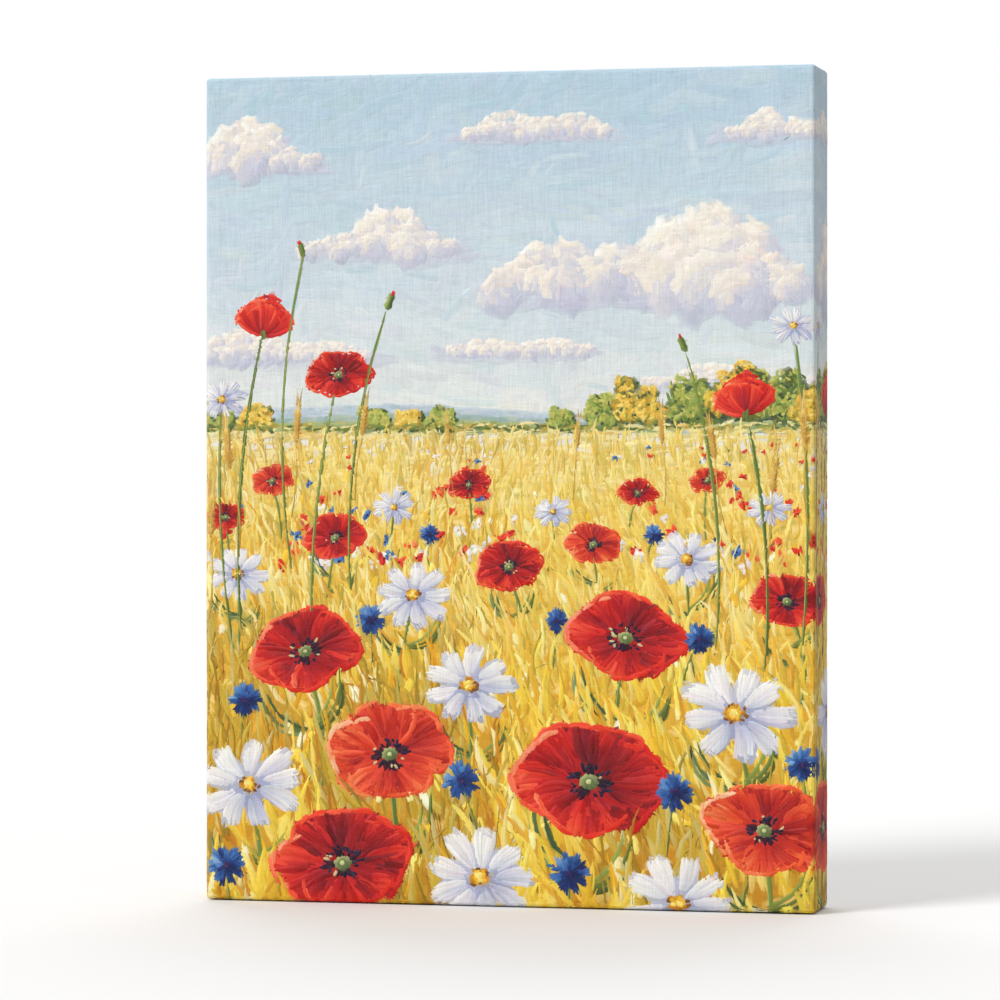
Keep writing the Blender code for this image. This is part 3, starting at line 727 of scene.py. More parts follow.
def paint_meadow(grass, flowers, near, front):
    """Rows of grass from the horizon down, each bloom painted once its row is reached."""
    rows = np.concatenate([np.arange(HORIZON - 10, -60, -5.2), np.arange(-60, -B - 26, -6.4)])
    waiting = sorted(BLOOMS, key=lambda f: -f[1])
    r = np.random.default_rng(77)
    # far flowers as touches
    for _ in range(230):
        y = HORIZON - 6 - 62 * r.random() ** .8
        x = r.uniform(-A - 4, A + 4)
        size = 1.4 + 4.2 * (HORIZON - y) / 70
        if drift_b(x * 1.3, y * 2) < -.35:
            continue
        tones = (RED, RED, CORAL, WHITE, WHITE, BLUE)[r.integers(6)]
        FAR.append((y, x, size, tones))
    FAR.sort(key=lambda v: -v[0])
    far = list(FAR)
    for y in rows:
        t = (HORIZON - y) / (HORIZON + B)
        brush = grass if y > -66 else near if y > -150 else front
        paint_grass_row(brush, y, t)
        while far and far[0][0] > y + 4:
            fy, fx, size, tones = far.pop(0)
            if not any((fx - hx) ** 2 + (fy - hy) ** 2 < (hr + size) ** 2 for hx, hy, hr in heads):
                paint_far_flower(brush, fx, fy, size, tones, r)
        while waiting and waiting[0][1] - waiting[0][2] * .9 > y + 2:
            bx, by, size, squash, turn, seed, kind = waiting.pop(0)
            lean = rng.normal(0, 6)
            paint_stem(brush, bx, by - size * .2, bx + lean, by - size * 3.2, max(1.2, size * .085), rng.normal(0, .05))
            if size > 12:
                for s in (-1, 1):
                    paint_leaf(brush, bx + lean * .4, by - size * rng.uniform(1.2, 1.7), math.radians(90 + s * rng.uniform(25, 60)), size * rng.uniform(.9, 1.3), size * .16, s * .2, s > 0)
            paint_bloom(flowers, kind, bx, by, size, squash, turn, seed)
    while waiting:
        bx, by, size, squash, turn, seed, kind = waiting.pop(0)
        paint_stem(front, bx, by - size * .2, bx + rng.normal(0, 5), by - size * 3, max(1.2, size * .085), rng.normal(0, .05))
        paint_bloom(flowers, kind, bx, by, size, squash, turn, seed)


FAR = []


def paint_tall(b):
    for x, y, size, a, seed, kind, sx, sy in TALL:
        if kind == "cup":
            foot = (x + math.sin(a) * size * .55, y - math.cos(a) * size * .55)
            paint_stem(b, foot[0], foot[1], sx, sy, max(1.5, size * .11), .04 if x < 0 else -.04)
            paint_cup(b, x, y, size, a, seed)
        elif kind == "bud":
            paint_stem(b, x - math.cos(a) * size * .6, y - math.sin(a) * size * .6, sx, sy, 1.4, .05 if x < 0 else -.05, .2)
            paint_bud(b, x, y, size, a, seed)
        else:
            paint_stem(b, x, y, sx, sy, max(1.5, size * .1), .03 if x < 0 else -.03)
            paint_bloom(b, kind, x, y, size, a, 6 if x < 0 else -6, seed)
    for x, y, a, s in ((-140, 10, 96, 17), (-106, 22, 86, 15), (-72, 26, 84, 13), (148, 18, 94, 17), (104, 14, 99, 14), (78, 22, 92, 12),
                       (132, -2, 85, 15), (-150, -24, 88, 18), (-28, 22, 95, 10), (36, 20, 86, 10)):
        paint_ear(b, x, y, math.radians(a), s)


# ------------------------------------------------------------------ strokes to meshes
LANES = {2: np.array([-1, 0, 1.0]), 4: np.array([-1, -.52, 0, .52, 1.0]),
         6: np.array([-1, -.74, -.38, 0, .38, .74, 1.0])}
CELL = .6
PAD = 30.0


def cells(x, y, shape):
    return (np.clip(((x + A + PAD) / CELL).astype(int), 0, shape[0] - 1),
            np.clip(((y + B + PAD) / CELL).astype(int), 0, shape[1] - 1))


def finer(n, times):
    """Matrix that fills in points between n + 1 points on a line."""
    m = np.zeros((n * times + 1, n + 1))
    for i in range(n * times + 1):
        k = min(i // times, n - 1)
        f = (i - k * times) / times
        m[i, k], m[i, k + 1] = 1 - f, f
    return m


def shape_strokes(rows):
    """Outline, relief and colour of every stroke, flat in the picture."""
    noise = np.random.default_rng(901)
    width, long = rows[:, 5], rows[:, 4]
    lanes_of = np.where(width >= 7, 6, np.where(width >= 2.5, 4, 2))
    segs_of = np.where(long < 6, 3, np.where(long < 16, 5, np.where(long < 34, 7, np.where(long < 66, 10, 24))))
    groups = []
    for lanes in (2, 4, 6):
        for segs in (3, 5, 7, 10, 24):
            pick = np.nonzero((lanes_of == lanes) & (segs_of == segs))[0]
            if not len(pick):
                continue
            k = rows[pick]
            m = len(pick)
            t = np.linspace(0, 1, segs + 1)[None, :, None]
            s = LANES[lanes][None, None, :]
            tang = np.stack([np.cos(k[:, 3]), np.sin(k[:, 3])], 1)
            norm = np.stack([-tang[:, 1], tang[:, 0]], 1)
            col = lambda i: k[:, i][:, None, None]
            length, wide, bend, relief, streak, lead, tail, ease, soft = (col(i) for i in (4, 5, 6, 7, 8, 9, 10, 11, 12))
            rag = noise.normal(0, 1, (m, 1, lanes + 1))
            fray = np.minimum(.030, .9 / length)
            reach = t + rag * fray * (t ** 5) - rag * fray * .6 * (1 - t) ** 5
            sway = 4 * bend * t * (1 - t)
            slope = 4 * bend * (1 - 2 * t)
            grow = lead + (1 - lead) * np.sqrt(np.clip(t / .22, 0, 1))
            fall = np.where(t > .55, 1 - (1 - tail) * (np.clip(t - .55, 0, 1) / .45) ** 1.7, 1.0)
            half = wide / 2 * grow * fall * (1 + noise.normal(0, .05, (m, segs + 1, 1)))
            across = s * half
            tx, ty, nx, ny = (v[:, None, None] for v in (tang[:, 0], tang[:, 1], norm[:, 0], norm[:, 1]))
            x = col(1) + tx * (length * reach - across * slope) + nx * (length * sway + across)
            y = col(2) + ty * (length * reach - across * slope) + ny * (length * sway + across)
            prof = {2: [0, 1, 0], 4: [0, 1, .62, 1, 0], 6: [0, .9, .6, .55, .6, .9, 0]}[lanes]
            prof = np.array(prof)[None, None, :] * (1 + .28 * noise.normal(0, 1, (m, 1, lanes + 1)))
            along = np.clip(t / .10, 0, 1) * np.clip((1 - t) / .10, 0, 1) * (1 + .45 * np.exp(-((t - .86) / .09) ** 2))
            h = relief * prof * along * (1 + .12 * noise.normal(0, 1, (m, segs + 1, lanes + 1)))
            rim = (np.abs(s) > .99) | (t < .001) | (t > .999)
            rim = np.broadcast_to(rim, x.shape)
            c0, c1 = k[:, 14:17][:, None, None, :], k[:, 17:20][:, None, None, :]
            colour = c0 + (c1 - c0) * (np.clip(t, 0, 1) ** ease)[..., None]
            tone = streak * (.75 * noise.normal(0, 1, (m, 1, lanes + 1)) + .30 * noise.normal(0, 1, (m, segs + 1, lanes + 1)))
            # painted highlight on the side of each stroke that faces LIGHT and painted shade on its far side, stronger
            # where the stroke is thicker
            lit = (norm @ LIGHT)[:, None, None]
            tone = tone + 7.0 * lit * s * np.clip(relief / .10, .15, 1.6)
            colour = np.clip(colour + tone[..., None], 4, 254)
            blend = soft * np.maximum(np.abs(s) ** 2.2, np.clip(np.abs(2 * t - 1) * 1.08, 0, 1) ** 7)
            uv = np.stack([np.broadcast_to(t * length + col(1), x.shape), np.broadcast_to(s * wide / 2 + col(2), x.shape)], -1)
            groups.append(dict(pick=pick, lanes=lanes, segs=segs, x=x, y=y, h=h, rim=rim, colour=colour,
                               blend=np.broadcast_to(blend, x.shape), uv=uv, piece=k[:, 0].astype(int)))
    return groups


def lay_paint(rows, groups):
    """Lays the strokes one after the other: each lies on what is below it, and its edge picks up that colour."""
    n = len(rows)
    where = [None] * n
    for g in groups:
        for j, i in enumerate(g["pick"]):
            where[i] = (g, j)
        wide = rows[g["pick"], 5].max() / g["lanes"]
        long = rows[g["pick"], 4].max() / g["segs"]
        g["step"] = max(1, int(math.ceil(long / CELL)))
        g["Ut"] = finer(g["segs"], g["step"])
        g["Us"] = finer(g["lanes"], max(1, int(math.ceil(wide / CELL)))).T
        g["inner"] = (np.abs(np.linspace(-1, 1, g["Ut"].shape[0])) < .88)[:, None] & (np.abs(LANES[g["lanes"]] @ g["Us"]) < .8)[None]
    nx, ny = int(2 * (A + PAD) / CELL) + 2, int(2 * (B + PAD) / CELL) + 2
    gx, gy = np.meshgrid(np.arange(nx) * CELL - A - PAD, np.arange(ny) * CELL - B - PAD, indexing="ij")
    caps = {}
    ground = np.zeros((nx, ny))
    canvas = under_colour(gx, gy)
    owner = np.full((nx, ny), -1)
    for i in range(n):
        g, j = where[i]
        x, y = g["x"][j], g["y"][j]
        ix, iy = cells(x, y, ground.shape)
        Ut, Us = g["Ut"], g["Us"]
        ux, uy = cells(Ut @ x @ Us, Ut @ y @ Us, ground.shape)
        below = ground[ux, uy]
        mean = below.mean(1)
        line = mean + rows[i, 13] * (below.max(1) - mean)
        block = line[:-1].reshape(g["segs"], g["step"]).max(1)
        level = np.maximum(np.append(block, line[-1]), np.append(line[0], block))
        below = ground[ix, iy]
        motif, room = rows[i, 20], .45
        if motif:
            if motif not in caps:
                mine = rows[rows[:, 20] == motif]
                far = np.linspace(0, 1, 5)[None] * mine[:, 4:5]
                cx, cy = cells(mine[:, 1:2] + np.cos(mine[:, 3:4]) * far, mine[:, 2:3] + np.sin(mine[:, 3:4]) * far, ground.shape)
                caps[motif] = (float(np.percentile(ground[cx, cy], 75)), i, len(mine))
            base, first, many = caps[motif]
            level = np.minimum(level, base + .05 + .20 * (i - first) / many)
            room = .7
            below = np.minimum(below, level[:, None] + .02)
        h = np.where(g["rim"][j], below - .02, level[:, None] + .010 + g["h"][j] * room)
        colour = g["colour"][j]
        colour = colour + (canvas[ix, iy] - colour) * g["blend"][j][..., None]
        g["h"][j], g["colour"][j] = h, colour
        uh = Ut @ h @ Us
        on = uh >= ground[ux, uy] - .012
        if motif:
            on |= g["inner"]
        uc = np.stack([Ut @ colour[..., c] @ Us for c in range(3)], -1)
        ground[ux[on], uy[on]] = uh[on]
        canvas[ux[on], uy[on]] = uc[on]
        owner[ux[on], uy[on]] = i
    seen = np.bincount(owner[owner >= 0], minlength=n) > 1
    # a face that shows nowhere is left out, so that no two layers lie a hair apart
    for g in groups:
        g["show"] = np.zeros((len(g["pick"]), g["segs"], g["lanes"]), bool)
    round_it = [owner] + [np.roll(owner, k, axis) for axis in (0, 1) for k in (-1, 1)]
    for i in np.nonzero(seen)[0]:
        g, j = where[i]
        segs, lanes, long, wide = g["segs"], g["lanes"], g["step"], (g["Us"].shape[1] - 1) // g["lanes"]
        at = cells(g["Ut"] @ g["x"][j] @ g["Us"], g["Ut"] @ g["y"][j] @ g["Us"], ground.shape)
        own = np.any([o[at] == i for o in round_it], axis=0)
        own = own[:-1].reshape(segs, long, -1).any(1) | own[long::long]
        g["show"][j] = own[:, :-1].reshape(segs, lanes, wide).any(2) | own[:, wide::wide]
    # a motif is painted over ridges: what lies below it is scraped down
    roof = ground.copy()
    for axis in (0, 1):
        roof = np.minimum(roof, np.minimum(np.roll(roof, 1, axis), np.roll(roof, -1, axis)))
    for g in groups:
        at = cells(g["x"], g["y"], ground.shape)
        over, mine = owner[at], g["pick"][:, None, None]
        hit = (over > mine) & (rows[over, 20] > 0) & (rows[over, 20] != rows[mine, 20])
        g["h"] = np.where(hit, np.minimum(g["h"], roof[at] - .04), g["h"])
    # thick places are pressed back to the cloth: the smooth lower side of the paint is taken off everywhere
    under = ground.copy()
    for axis in (0, 1):
        for k in (1, 2, 3, 3):
            under = np.minimum(under, np.minimum(np.roll(under, k, axis), np.roll(under, -k, axis)))
    for _ in range(3):
        for axis in (0, 1):
            under = sum(np.roll(under, k, axis) for k in range(-4, 5)) / 9
    under = np.maximum(under - .03, 0)

    def pressed(h):
        return np.where(h > .2, .2 + .25 * (1 - np.exp(-np.clip(h - .2, 0, 9) / .25)), h)

    def kept_up(h):
        """Nothing sinks through the cloth, and what lay on top stays on top."""
        return np.where(h < -.03, -.03 - .055 * (1 - np.exp(np.minimum(h + .03, 0) / .055)), h)

    for g in groups:
        g["h"] = kept_up(pressed(g["h"] - under[cells(g["x"], g["y"], ground.shape)]))
    print("thickest", round(float(ground.max()), 2), "above its lower side", round(float((ground - under).max()), 2))
    ground = pressed(ground - under)
    for g in groups:
        g["seen"] = seen[g["pick"]]
    return ground, canvas, seen


def stroke_pieces(sides=("front", "right", "left", "top", "bottom")):
    rows = np.array(ORDER)
    rows = rows[(np.abs(rows[:, 1]) < A + 60) & (np.abs(rows[:, 2]) < B + 60)]
    groups = shape_strokes(rows)
    ground, canvas, seen = lay_paint(rows, groups)
    print(int(seen.sum()), "strokes still show")
    print("paint up to", round(float(ground.max()), 3), "mm")
    store = [dict(v=[], c=[], uv=[], flat=[], f=[], order=[], n=0) for _ in PIECES]
    for g in groups:
        lanes, segs = g["lanes"], g["segs"]
        count = (segs + 1) * (lanes + 1)
        idx = np.arange(count).reshape(segs + 1, lanes + 1)
        quad = np.stack([idx[:-1, :-1], idx[1:, :-1], idx[1:, 1:], idx[:-1, 1:]], -1).reshape(-1, 4)
        for piece in np.unique(g["piece"]):
            mine = (g["piece"] == piece) & g["seen"]
            if not mine.any():
                continue
            m = int(mine.sum())
            faces0 = (quad[None] + (np.arange(m) * count)[:, None, None]).reshape(-1, 4)
            x, y, h = (g[k][mine].reshape(-1) for k in ("x", "y", "h"))
            colour, uv = g["colour"][mine].reshape(-1, 3), g["uv"][mine].reshape(-1, 2)
            order = np.repeat(g["pick"][mine], len(quad))
            out = store[piece]
            for side in sides:
                if side == "front":
                    px, py = np.clip(x, -A, A), np.clip(y, -B, B)
                    flat = np.stack([px, py], -1)
                    dead = np.stack([x <= -A, x >= A, y <= -B, y >= B], 1)
                else:
                    d = {"right": A - x, "left": A + x, "top": B - y, "bottom": B + y}[side]
                    most = SIDE + PRINT_OVER
                    other, lim = (y, B) if side in ("right", "left") else (x, A)
                    dd, oo = np.clip(d, 0, most), np.clip(other, -lim, lim)
                    dead = np.stack([d <= 0, d >= most, other <= -lim, other >= lim], 1)
                    if side in ("right", "left"):
                        px, py = (A - dd if side == "right" else dd - A), oo
                        flat = np.stack([A + dd if side == "right" else -A - dd, oo], -1)
                    else:
                        px, py = oo, (B - dd if side == "top" else dd - B)
                        flat = np.stack([oo, B + dd if side == "top" else -B - dd], -1)
                bad = ~g["show"][mine].reshape(-1)
                for col in range(4):
                    bad |= dead[faces0, col].all(1)
                f = faces0[~bad]
                if not len(f):
                    continue
                used = np.unique(f)
                remap = np.full(len(px), -1)
                remap[used] = np.arange(len(used)) + out["n"]
                out["v"].append(wrap(side, px[used], py[used], h[used]))
                out["c"].append(colour[used])
                out["uv"].append(uv[used])
                out["flat"].append(flat[used])
                out["order"].append(order[~bad])
                out["f"].append(remap[f] if side == "front" else remap[f][:, ::-1])
                out["n"] += len(used)
    made = [paint_body(ground, canvas)]
    for brush, out in zip(PIECES, store):
        if not out["n"]:
            continue
        v, c, uv, flat, f, order = (np.concatenate(out[k]) for k in ("v", "c", "uv", "flat", "f", "order"))
        f = f[np.argsort(order, kind="stable")]                # as painted, the last stroke last
        e1, e2 = v[f[:, 2]] - v[f[:, 0]], v[f[:, 3]] - v[f[:, 1]]
        f = f[np.linalg.norm(np.cross(e1, e2), axis=1) / 2 > 2e-9]
        used, f = np.unique(f, return_inverse=True)
        f = f.reshape(-1, 4)
        made.append(quads_object(brush.name, v[used], f, c[used], uv[used], flat[used]))
        print(brush.name, 2 * len(f), "triangles")
    return made


def paint_body(ground, canvas):
    """The body of the paint: closes the chinks between strokes, a little below their surface."""
    low, tone = ground.copy(), canvas.copy()
    for axis in (0, 1):
        for k in (1, 2):
            low = np.minimum(low, np.minimum(np.roll(low, k, axis), np.roll(low, -k, axis)))
        tone = (tone + np.roll(tone, 1, axis) + np.roll(tone, -1, axis)) / 3
    v, c, uv, f, flat = [], [], [], [], []
    start = 0

    def patch(side, first, second, p, q, flip, out):
        nonlocal start
        ix, iy = cells(p, q, low.shape)
        v.append(on_face(side, first, second, thinned(side, p, q, low[ix, iy] - .02)).reshape(-1, 3))
        c.append(tone[ix, iy].reshape(-1, 3))
        uv.append(np.stack([p, q], -1).reshape(-1, 2))
        flat.append(np.stack(out, -1).reshape(-1, 2))
        n, m = p.shape
        idx = np.arange(n * m).reshape(n, m) + start
        quad = np.stack([idx[:-1, :-1], idx[1:, :-1], idx[1:, 1:], idx[:-1, 1:]], -1).reshape(-1, 4)
        f.append(quad[:, ::-1] if flip else quad)
        start += n * m

    xs, ys, zs = (cloth_lines(HALF[i], 1.9) for i in range(3))
    P, Q = np.meshgrid(xs, zs, indexing="ij")
    patch("front", P, Q, P, Q, False, (P, Q))
    over = np.array([0, ARC / 2, ARC, PRINT_OVER])
    for side in ("right", "left", "top", "bottom"):
        sign = 1 if side in ("right", "top") else -1
        upright = side in ("right", "left")
        half, lines = (A, zs) if upright else (B, xs)
        D, L = np.meshgrid(ys, lines, indexing="ij")
        p, o = sign * (half - D - SIDE / 2), sign * (half + D + SIDE / 2)
        patch(side, *((D, L, p, L) if upright else (L, D, L, p)), side in ("left", "top"), (o, L) if upright else (L, o))
        D, L = np.meshgrid(over, lines, indexing="ij")
        p, o = sign * (half - SIDE - D), sign * (half + SIDE + D)
        edge = sign * (half - D)
        patch("back", *((edge, L, p, L) if upright else (L, edge, L, p)), side in ("right", "bottom"), (o, L) if upright else (L, o))
    o = quads_object("brushwork_ground", *(np.concatenate(k) for k in (v, f, c, uv, flat)))
    print("brushwork_ground", 2 * len(o.data.polygons), "triangles")
    return o


def quads_object(name, v, f, c=None, uv=None, flat=None):
    me = bpy.data.meshes.new(name)
    me.vertices.add(len(v))
    me.vertices.foreach_set("co", np.ascontiguousarray(v, np.float32).ravel())
    me.loops.add(f.size)
    me.loops.foreach_set("vertex_index", f.astype(np.int32).ravel())
    me.polygons.add(len(f))
    me.polygons.foreach_set("loop_start", np.arange(0, f.size, 4, dtype=np.int32))
    me.polygons.foreach_set("use_smooth", np.ones(len(f), bool))
    if uv is not None:
        layer = me.uv_layers.new(name="stroke")
        layer.data.foreach_set("uv", (uv[f.ravel()] * .01).astype(np.float32).ravel())
    if flat is not None:                       # the cloth laid out flat, with its sides folded down
        low, high = flat.min(0), flat.max(0)
        layer = me.uv_layers.new(name="OFBake")
        layer.data.foreach_set("uv", (.003 + .994 * (flat[f.ravel()] - low) / (high - low)).astype(np.float32).ravel())
        me.uv_layers.active = me.uv_layers["stroke"]
        me.uv_layers["stroke"].active_render = True
    me.update(calc_edges=True)
    if c is not None:
        att = me.color_attributes.new("paint", "FLOAT_COLOR", "POINT")
        col = np.ones((len(v), 4), np.float32)
        col[:, :3] = linear(c)
        att.data.foreach_set("color", col.ravel())
    me.validate(clean_customdata=False)
    o = bpy.data.objects.new(name, me)
    scene.collection.objects.link(o)
    return o


# ------------------------------------------------------------------ materials
def new_material(name):
    m = bpy.data.materials.new(name)
    m.use_nodes = True
    nt = m.node_tree
    return m, nt, nt.nodes["Principled BSDF"]


def node(nt, kind, **values):
    n = nt.nodes.new(kind)
    for k, v in values.items():
        if k in n.inputs:
            n.inputs[k].default_value = v
        else:
            setattr(n, k, v)
    return n


def weave_height(nt, pitch=0.62, slub=True):
    """Height of a plain weave on every face of the box, from object coordinates in mm."""
    tex = node(nt, "ShaderNodeTexCoord")
    mm = node(nt, "ShaderNodeVectorMath", operation="SCALE")
    mm.inputs["Scale"].default_value = 1000.0
    nt.links.new(tex.outputs["Object"], mm.inputs[0])
    sep = node(nt, "ShaderNodeSeparateXYZ")
    nt.links.new(mm.outputs[0], sep.inputs[0])
    waves = []
    for axis in range(3):
        k = node(nt, "ShaderNodeMath", operation="MULTIPLY")
        k.inputs[1].default_value = 2 * math.pi / pitch / 2
        nt.links.new(sep.outputs[axis], k.inputs[0])
        s = node(nt, "ShaderNodeMath", operation="SINE")
        nt.links.new(k.outputs[0], s.inputs[0])
        waves.append(s)
    prod = []
    for i, j in ((0, 1), (1, 2), (0, 2)):
        m = node(nt, "ShaderNodeMath", operation="MULTIPLY")
        nt.links.new(waves[i].outputs[0], m.inputs[0])
        nt.links.new(waves[j].outputs[0], m.inputs[1])
        prod.append(m)
    add = node(nt, "ShaderNodeMath", operation="ADD")
    nt.links.new(prod[0].outputs[0], add.inputs[0])
    nt.links.new(prod[1].outputs[0], add.inputs[1])
    add2 = node(nt, "ShaderNodeMath", operation="ADD")
    nt.links.new(add.outputs[0], add2.inputs[0])
    nt.links.new(prod[2].outputs[0], add2.inputs[1])
    out = add2
    if slub:
        for scale in ((.16, .16, 1.6), (1.6, .16, .16)):
            mp = node(nt, "ShaderNodeMapping")
            mp.inputs["Scale"].default_value = scale
            nt.links.new(mm.outputs[0], mp.inputs["Vector"])
            nz = node(nt, "ShaderNodeTexNoise")
            nz.inputs["Scale"].default_value = .8
            nz.inputs["Detail"].default_value = 2
            nt.links.new(mp.outputs[0], nz.inputs["Vector"])
            ma = node(nt, "ShaderNodeMath", operation="MULTIPLY_ADD")
            ma.inputs[1].default_value = 3.2
            nt.links.new(nz.outputs["Fac"], ma.inputs[0])
            nt.links.new(out.outputs[0], ma.inputs[2])
            out = ma
    return out.outputs[0]


def threads(nt):
    """Uneven linen threads, up and across, about 0 and from -1 to 1. As height it makes the weave's relief; in a colour
    it gives uneven yarn together with painted highlight and shade of the thread ridges.
    """
    tex = node(nt, "ShaderNodeTexCoord")
    total = None
    for scale, gain in (((1.45, 1.45, .085), 3.7), ((.11, .11, 1.45), 2.1)):
        mp = node(nt, "ShaderNodeMapping")
        mp.inputs["Scale"].default_value = [1000 * v for v in scale]
        nt.links.new(tex.outputs["Object"], mp.inputs["Vector"])
        nz = node(nt, "ShaderNodeTexNoise")
        nz.inputs["Scale"].default_value = 1.0
        nz.inputs["Detail"].default_value = 2.0
        nt.links.new(mp.outputs[0], nz.inputs["Vector"])
        ma = node(nt, "ShaderNodeMath", operation="MULTIPLY_ADD")
        ma.inputs[1].default_value = gain
        ma.inputs[2].default_value = -gain / 2
        nt.links.new(nz.outputs["Fac"], ma.inputs[0])
        if total is not None:
            add = node(nt, "ShaderNodeMath", operation="ADD")
            nt.links.new(total, add.inputs[0])
            nt.links.new(ma.outputs[0], add.inputs[1])
            total = add.outputs[0]
        else:
            total = ma.outputs[0]
    return total


def tinted(nt, colour, value, gain):
    """The colour, lighter and darker with the value."""
    ma = node(nt, "ShaderNodeMath", operation="MULTIPLY_ADD")
    ma.inputs[1].default_value = gain
    ma.inputs[2].default_value = 1.0
    nt.links.new(value, ma.inputs[0])
    vm = node(nt, "ShaderNodeVectorMath", operation="SCALE")
    nt.links.new(colour, vm.inputs[0])
    nt.links.new(ma.outputs[0], vm.inputs["Scale"])
    return vm.outputs[0]


def paint_material(name, rough=.56, bristle=.030, weave=.030):
    m, nt, shader = new_material(name)
    att = node(nt, "ShaderNodeAttribute", attribute_name="paint")
    shader.inputs["Roughness"].default_value = rough
    shader.inputs["Specular IOR Level"].default_value = .28
    uv = node(nt, "ShaderNodeUVMap", uv_map="stroke")
    mp = node(nt, "ShaderNodeMapping")
    mp.inputs["Scale"].default_value = (14.0, 190.0, 1.0)
    nt.links.new(uv.outputs[0], mp.inputs["Vector"])
    nz = node(nt, "ShaderNodeTexNoise")
    nz.inputs["Scale"].default_value = 1.0
    nz.inputs["Detail"].default_value = 3
    nt.links.new(mp.outputs[0], nz.inputs["Vector"])
    centred = node(nt, "ShaderNodeMath", operation="SUBTRACT")
    centred.inputs[1].default_value = .5
    nt.links.new(nz.outputs["Fac"], centred.inputs[0])
    linen = threads(nt)
    # the threads lighten and darken the paint's colour: uneven yarn, and painted highlight and shade of the weave's
    # ridges
    colour = tinted(nt, att.outputs["Color"], linen, .075)
    colour = tinted(nt, colour, centred.outputs[0], .28)
    nt.links.new(colour, shader.inputs["Base Color"])
    b1 = node(nt, "ShaderNodeBump")
    b1.inputs["Distance"].default_value = weave * MM
    nt.links.new(linen, b1.inputs["Height"])
    b2 = node(nt, "ShaderNodeBump")
    b2.inputs["Distance"].default_value = bristle * 4 * MM
    nt.links.new(nz.outputs["Fac"], b2.inputs["Height"])
    nt.links.new(b1.outputs[0], b2.inputs["Normal"])
    nt.links.new(b2.outputs[0], shader.inputs["Normal"])
    return m


# ------------------------------------------------------------------ the cloth
def cloth_lines(half, step):
    flat = half - R
    n = max(2, int(round(2 * (flat - 1.2) / step)))
    inner = np.concatenate([[-flat, -flat + .5], np.linspace(-flat + 1.2, flat - 1.2, n + 1), [flat - .5, flat]])
    arc = np.linspace(0, ARC, 4)[1:]
    return np.concatenate([-(flat + arc[::-1]), inner, flat + arc])


def under_colour(p, q):
    """The flat colour below the brushwork."""
    t_sky = np.clip((q - HORIZON) / (B - HORIZON), 0, 1)
    t_land = np.clip((HORIZON - q) / (HORIZON + B), 0, 1)
    out = np.zeros(p.shape + (3,))
    flat = out.reshape(-1, 3)
    for i, (a, b_) in enumerate(zip(p.ravel(), q.ravel())):
        flat[i] = sky_colour(a, b_) if b_ > HORIZON else field_colour(a, b_)
    return out


def staple_places():
    """Where the staples lie on the back: middle and direction, in mm from the middle of the picture."""
    r = np.random.default_rng(55)
    out = []
    for x in (-131, -101, -67, -33, 1, 35, 69, 102, 132):
        for s in (-1, 1):
            out.append((x + r.normal(0, 1.8), s * (B - 9.6 + r.normal(0, .7)), math.radians(r.normal(0, 5))))
    for z in (-181, -150, -114, -77, -39, -2, 36, 73, 111, 148, 182):
        for s in (-1, 1):
            out.append((s * (A - 9.4 + r.normal(0, .7)), z + r.normal(0, 2), math.radians(90 + r.normal(0, 5))))
    return out


def dents(a, b):
    """The cloth is pulled down below every staple."""
    out = np.zeros(a.shape)
    for x, z, turn in staple_places():
        u = (a - x) * math.cos(turn) + (b - z) * math.sin(turn)
        v = (b - z) * math.cos(turn) - (a - x) * math.sin(turn)
        out += .16 * np.exp(-(u / 6.5) ** 4 - (v / 2.0) ** 2)
    return out


